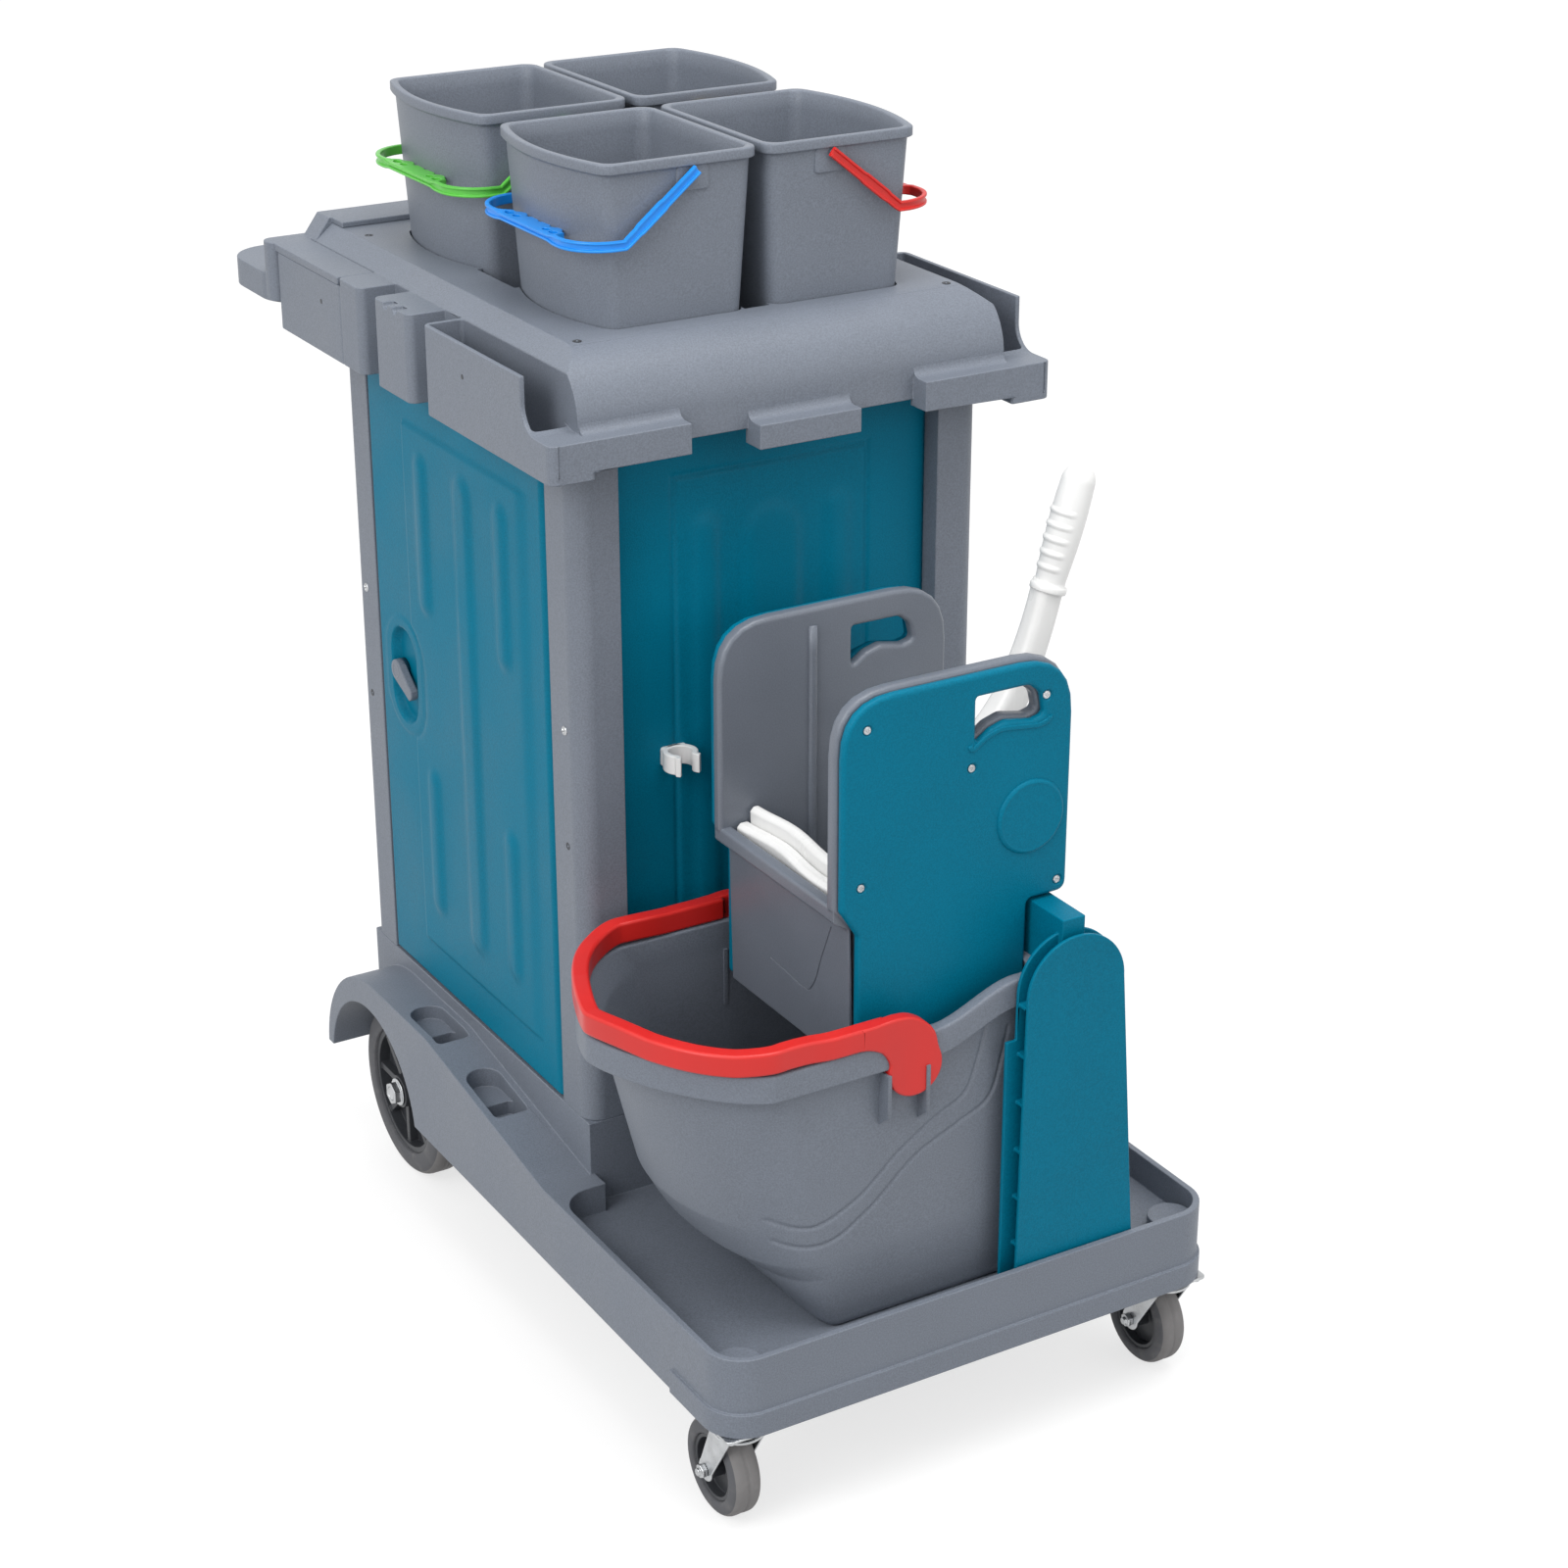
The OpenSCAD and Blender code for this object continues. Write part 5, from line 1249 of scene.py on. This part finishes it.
def fixed_jaw():
    """A white jaw on the trough's left wall: two waved bars, one a step above the other"""
    low, high = span("fixed_jaw")
    y = np.linspace(low[1] + 1, high[1] - 1, 90)
    swing = 2.6 * np.sin((y - PRESS_MID) / 24)
    ripple = 1.4 * np.sin((y - PRESS_MID) / 24 + 1.2)
    edge = 4
    bars = [(11, 24, low[2] + 1, SHOULDER_Z + 59), (-4, 12, SHOULDER_Z, SHOULDER_Z + 45)]
    parts = []
    for x0, x1, foot_z, top_z in bars:
        rings = []
        for station, aside, lift in zip(y, swing, ripple):
            left, right, top = x0 + aside, x1 + aside, top_z + lift
            section = [
                (x0 + 3, foot_z), (x1, foot_z), (right, top - edge), (right - edge, top),
                (left + edge, top), (left, top - edge),
            ]
            rings.append([(NECK_X0 + x, station, z) for x, z in section])
        parts.append(loft(rings))
    piece = mesh_object("waved_jaw", parts)
    soften(piece, 1.6)
    settle(piece, "white_plastic", "wringer", ["fixed_jaw"])


def lever():
    """The white lever: a curved shaft on a hub, and the two cranks that push the jaw"""
    bent = [(0, 0), (28, 26), (54, 58), (74, 98), (88, 136), (100, 178)]
    run = curved(bent, 48)
    path = np.column_stack([AXLE_X + run[:, 0], np.full(48, PRESS_MID), AXLE_Z + run[:, 1]])
    shaft = [rounded(36 - 7 * eased(s * 1.2), 30 - 4 * s, 9, 6) for s in np.linspace(0, 1, 48)]
    hub = [(18, 0), (20, 2), (20, 110), (18, 112)]
    eye = [(7, 0), (8, 1), (8, 11), (7, 12)]
    parts = [sweep(path, shaft, (0, 1, 0)), disc((AXLE_X, PRESS_MID - 56, AXLE_Z), (0, 1, 0), hub, 48)]
    tip_x = AXLE_X + CRANK_L * math.sin(CRANK_TURN)
    tip_z = AXLE_Z - CRANK_L * math.cos(CRANK_TURN)
    for y in (PRESS_MID - 48, PRESS_MID + 48):
        crank = np.linspace((AXLE_X, y, AXLE_Z), (tip_x, y, tip_z), 8)
        parts.append(bar(crank, rounded(15, 12, 3), (0, 1, 0)))
        parts.append(disc((tip_x, y - 6, tip_z), (0, 1, 0), eye))
    piece = mesh_object("moulded_lever", parts)
    settle(piece, "white_plastic", "wringer_lever", ["press_lever"])


def lever_grip():
    """The lever's fat grip: a collar, finger ridges on its left side, and a round end"""
    foot = np.array([AXLE_X + 98, PRESS_MID, AXLE_Z + 167])
    tip = np.array([AXLE_X + 135, PRESS_MID, AXLE_Z + 290])
    lean = unit(tip - foot)
    length = np.linalg.norm(tip - foot)
    collar = [(14, 0), (17.8, 0.8), (18.2, 2), (18.2, 6), (17.6, 7.4), (15.4, 8), (15, 11)]
    profile = [(radius, along, 0) for radius, along in collar]
    first, last, pitch = 0.16, 0.7, 0.108
    for share in np.linspace(0.11, 0.84, 110):
        ridge = max(0, math.sin((share - first) * 2 * math.pi / pitch)) if first < share < last else 0
        belly = math.sin(math.pi * (share - 0.1) / 0.95)
        profile.append((15 + 2.8 * belly, share * length, 1.5 * ridge))
    end_r = profile[-1][0]
    for a in np.linspace(0.1, math.pi / 2 - 0.05, 12):
        profile.append((end_r * math.cos(a), length * (0.85 + 0.15 * math.sin(a)), 0))
    angles = whole_turn(48)
    spokes = np.outer(np.cos(angles), np.cross(lean, (0, 1, 0))) + np.outer(np.sin(angles), (0, 1, 0))
    facing = eased((np.cos(angles) - 0.1) / 0.5)
    piece = mesh_object("moulded_grip", [loft([
        foot + lean * along + spokes * (radius + ridge * facing)[:, None] for radius, along, ridge in profile
    ])])
    settle(piece, "white_plastic", "wringer_lever", ["lever_grip"])


def stand_web():
    """The web that hangs under the stand's cross bar"""
    thick, tall, half = 5.0, 26.0, 150.0
    bar_low = SHOULDER_Z - 34
    outline = oblong(PRESS_MID - half, PRESS_MID + half, bar_low - tall, bar_low + 3)
    mesh = plate([outline], thick, 1.0, facing_side(NECK_X1 + 3 + thick / 2))
    settle(even_shading(joined("stand_web", [mesh])), "teal_plastic", CART)


press_body()
stand_web()
for name in ENDS:
    press_cover(name)
fixed_jaw()
lever()
lever_grip()


# Screw heads with a cross recess

def screw(centre, axis, radius=5.0, rise=2.2):
    """A domed screw head; its cross recess is pressed into the dome"""
    axis, side, other = square_to(axis, (0.31, 0.52, 0.79))
    angles = whole_turn(32)
    rings = []
    for share in (1.0, 1.0, 0.94, 0.84, 0.7, 0.56, 0.44, 0.32, 0.2, 0.08):
        u, v = share * radius * np.cos(angles), share * radius * np.sin(angles)
        dome = rise * math.sqrt(1 - share ** 2) if rings else -0.5
        cross = np.maximum(eased((1.0 - np.abs(u)) / 0.5), eased((1.0 - np.abs(v)) / 0.5))
        height = dome - 1.5 * cross * (share < 0.62)
        rings.append(np.array(centre) + np.outer(u, side) + np.outer(v, other) + np.outer(height, axis))
    return loft(rings)


def post_screws():
    """Bright screws at the shelf, and lower down on the posts screws in dark plastic: painted shade of their
    recesses
    """
    low, high = span("post_screws")
    bright, dark = [], []
    for place in PLACES:
        post_low, post_high = span(place + "_post")
        left = "left" in place
        face_x = post_low[0] if left else post_high[0]
        middle_y = middle_of(place + "_post")[1]
        axis = (-1 if left else 1, 0, 0)
        bright.append(screw((face_x, middle_y, high[2] - 5), axis))
        # The lower screws take dark plastic in place of zinc: painted shade
        dark.append(screw((face_x, middle_y, low[2] + 5), axis, 4.0, 0.6))
    settle(mesh_object("shelf_screws", bright), "zinc_steel", CART, ["post_screws"])
    settle(mesh_object("lower_screws_in_painted_shade", dark), "dark_plastic", CART)


def tray_screws():
    """Screws in the tray's holes, in dark plastic in place of zinc: painted shade of the holes"""
    heads = []
    for place in PLACES:
        x, y = middle_of(place + "_post")[:2]
        heads.append(screw((x, y, TRAY_HIGH[2] + 0.3), (0, 0, 1), 4.4, 0.5))
    piece = mesh_object("tray_screws_in_painted_shade", heads)
    # The zinc slot stays but the finish is dark plastic: painted shade of the holes
    settle(piece, "zinc_steel", CART, ["tray_screws"], FINISH["dark_plastic"])


def cover_screws():
    """Bright screws, each in its sink in a cover"""
    heads = [
        screw((x, PRESS_MID + out * (PLATE_OUT + COVER_T - 1.6), z), (0, out, 0), 4.2, 1.9)
        for x, z in COVER_SPOTS for out in (-1, 1)
    ]
    settle(mesh_object("cross_head_cover_screws", heads), "zinc_steel", "wringer", ["cover_screws"])


post_screws()
tray_screws()
cover_screws()


# Tyres: turned rings with round shoulders and a paler, grooved tread

REAR_RUBBER = 26
CASTER_RUBBER = 16


def tyre(node, body, deep, grooves):
    """A tyre of deep rubber with a few grooves in its tread"""
    low, high = span(node)
    centre = (low + high) / 2
    outer = (high[2] - low[2]) / 2
    half = (high[0] - low[0]) / 2
    inner = outer - deep
    shoulder = min(half * 0.6, deep / 2)
    flank = deep - shoulder
    profile = [(inner, 1 - half), (inner + 1, -half)]
    profile += [(inner + flank * t, -half - 0.6 * math.sin(math.pi * t)) for t in (0.3, 0.5, 0.7)]
    profile += [
        (outer - shoulder + shoulder * math.sin(a), -half + shoulder - shoulder * math.cos(a))
        for a in np.linspace(0.1, math.pi / 2, 9)
    ]
    side_points = len(profile)
    crown = half - shoulder
    for x in np.linspace(-crown, crown, 8 * grooves + 1)[1:-1]:
        notch = 1.3 * max(0, math.cos(x / crown * math.pi * grooves)) ** 6
        profile.append((outer - notch, x))
    profile += [(r, -x) for r, x in reversed(profile[:side_points])]
    points, faces = disc(centre, (1, 0, 0), profile + profile[:1], 96)
    caps = 2
    piece = joined("turned_" + node, [], [(points, faces[:-caps])])
    settle(piece, "tyre_rubber", body, [node])
    piece.data.materials.append(tread_rubber)
    for face in piece.data.polygons:
        spot = np.array(face.center) / MM - centre
        if np.hypot(spot[1], spot[2]) > outer - shoulder * 0.45:
            face.material_index = 1


for name in SIDES:
    tyre("rear_tyre_" + name, "rear_wheel_" + name, REAR_RUBBER, 3)
    tyre("caster_tyre_" + name, "caster_wheel_" + name, CASTER_RUBBER, 1)


# Tool clip and latch levers

LATCH_TURN = math.radians(-150)


def tool_clip():
    """A white spring clip: a ring with flared jaws on a small foot"""
    low, high = span("tool_clip")
    bore_r, wall = 12.0, 5.6
    middle = (low + high) / 2
    x0, y0, z0 = middle[0], low[1] + bore_r + wall, middle[2]
    tall = high[2] - low[2]
    radius = bore_r + wall / 2
    flare = [(12.4, -17.4), (10.6, -15.6), (9.6, -13.6)]
    ring = [(radius * math.cos(a), radius * math.sin(a)) for a in np.radians(np.linspace(-50, 230, 48))]
    path = flare + ring + [(-x, y) for x, y in reversed(flare)]
    points = [(x0 + x, y0 + y, z0) for x, y in path]
    parts = [bar(points, rounded(wall, tall, 1.4), (0, 0, 1))]
    foot = np.array(rounded(28, tall, 3))
    rings = []
    for depth, size in ((0, 1), (3.2, 1), (4.4, 0.94)):
        x, z = size * foot.T
        rings.append(np.column_stack([x0 + x, np.full(len(x), high[1] - depth), z0 + z]))
    parts.append(loft(rings))
    piece = mesh_object("moulded_tool_clip", parts)
    soften(piece, 0.6)
    settle(piece, "white_plastic", CART, ["tool_clip"])


def latch_lever(side_name):
    """A tapered latch lever with a pivot eye"""
    node = "latch_" + side_name
    side = SIDES[side_name]
    low, high = span(node)
    face = low[0] if side < 0 else high[0]
    cam_low, cam_high = span("latch_cam_" + side_name)
    pivot = np.array([(cam_low[1] + cam_high[1]) / 2, cam_low[2] + 14])
    eye_r, thick = 12, 9
    hub = [
        (eye_r, -12), (eye_r, -1.5), (11, -0.2), (8, 0.2), (6.4, 0.2), (5.6, -0.8), (4.6, -1.6), (1, -1.8),
    ]
    stem = [(7, -32), (7, -8)]
    outline = [(eye_r * math.cos(a), eye_r * math.sin(a)) for a in np.radians(np.linspace(75, 285, 20))]
    outline += [(30, -7.5), (39, -7)]
    outline += [(36 + 6 * math.cos(a), 7 * math.sin(a)) for a in np.radians(np.linspace(-60, 60, 8))]
    outline += [(39, 7), (30, 7.5)]
    ahead = np.array([math.cos(LATCH_TURN), math.sin(LATCH_TURN)])
    across = np.array([-ahead[1], ahead[0]])
    rim = [pivot + along * ahead + aside * across for along, aside in outline]
    mesh = plate([rim], thick, 1.6, facing_side(face - side * thick / 2))
    parts = [disc((face, *pivot), (side, 0, 0), profile) for profile in (hub, stem)]
    piece = even_shading(joined("moulded_" + node, [mesh], parts))
    settle(piece, "grey_plastic", node, [node])


tool_clip()
for name in SIDES:
    latch_lever(name)


# Stage, light and camera

EYE = Vector((-1.4623, -2.6563, 1.8574))
AZIMUTH = math.radians(-30.87)
ELEVATION = math.radians(23.73)
LENS = 71.93


def camera():
    """The photograph's own view"""
    data = bpy.data.cameras.new("camera")
    data.lens = LENS
    data.sensor_width = 36
    data.sensor_fit = "HORIZONTAL"
    data.clip_end = 50
    piece = new_object("camera", data)
    piece.location = EYE
    piece.rotation_euler = (math.pi / 2 - ELEVATION, 0, AZIMUTH)
    bpy.context.scene.camera = piece


def background_rays(tree):
    """1 on the rays that show the background: from the camera, or mirrored or passed on by a surface"""
    path = tree.nodes.new("ShaderNodeLightPath")
    shown = path.outputs["Is Camera Ray"]
    for kind in ("Is Glossy Ray", "Is Transmission Ray"):
        either = tree.nodes.new("ShaderNodeMath")
        either.operation = "MAXIMUM"
        tree.links.new(shown, either.inputs[0])
        tree.links.new(path.outputs[kind], either.inputs[1])
        shown = either.outputs[0]
    return shown


def floor():
    """A floor seen as white with its shadow kept, which throws less light back at the cart"""
    bpy.ops.mesh.primitive_plane_add(size=40)
    piece = bpy.context.object
    piece.name = "floor"
    look = Nodes("floor")
    look.shader.inputs["Base Color"].default_value = (0.3, 0.3, 0.3, 1)
    look.shader.inputs["Roughness"].default_value = 0.9
    glow = look.add("ShaderNodeEmission")
    glow.inputs["Strength"].default_value = 0.7
    bounce = look.add("ShaderNodeBsdfDiffuse")
    bounce.inputs["Color"].default_value = (0.45, 0.45, 0.45, 1)
    both = look.add("ShaderNodeAddShader")
    choice = look.add("ShaderNodeMixShader")
    look.join(look.shader.outputs[0], both.inputs[0])
    look.join(glow.outputs[0], both.inputs[1])
    look.join(background_rays(look.tree), choice.inputs[0])
    look.join(bounce.outputs[0], choice.inputs[1])
    look.join(both.outputs[0], choice.inputs[2])
    look.join(choice.outputs[0], look.tree.nodes["Material Output"].inputs["Surface"])
    piece.data.materials.append(look.material)


def lamp(name, place, size, power, target=(0, 0, 0.6)):
    """A round softbox that faces the cart"""
    data = bpy.data.lights.new(name, "AREA")
    data.shape = "DISK"
    data.size = size
    data.energy = power
    piece = new_object(name, data)
    piece.location = place
    piece.rotation_euler = (Vector(target) - Vector(place)).to_track_quat("-Z", "Y").to_euler()


def sky():
    """Even white light from all round"""
    world = bpy.data.worlds.new("studio")
    bpy.context.scene.world = world
    world.use_nodes = True
    tree = world.node_tree
    back = tree.nodes["Background"]
    back.inputs["Color"].default_value = (1, 1, 1, 1)
    level = tree.nodes.new("ShaderNodeMapRange")
    level.inputs["To Min"].default_value = 0.95
    level.inputs["To Max"].default_value = 1.0
    tree.links.new(background_rays(tree), level.inputs["Value"])
    tree.links.new(level.outputs["Result"], back.inputs["Strength"])


camera()
floor()
sky()
lamp("side softbox", (-3.2, -1.2, 2.8), 2.2, 60)
lamp("top softbox", (0.0, -1.0, 4.2), 2.6, 80)
lamp("front fill", (1.6, -3.6, 2.2), 2.0, 10)
bpy.context.scene.view_settings.view_transform = "Standard"
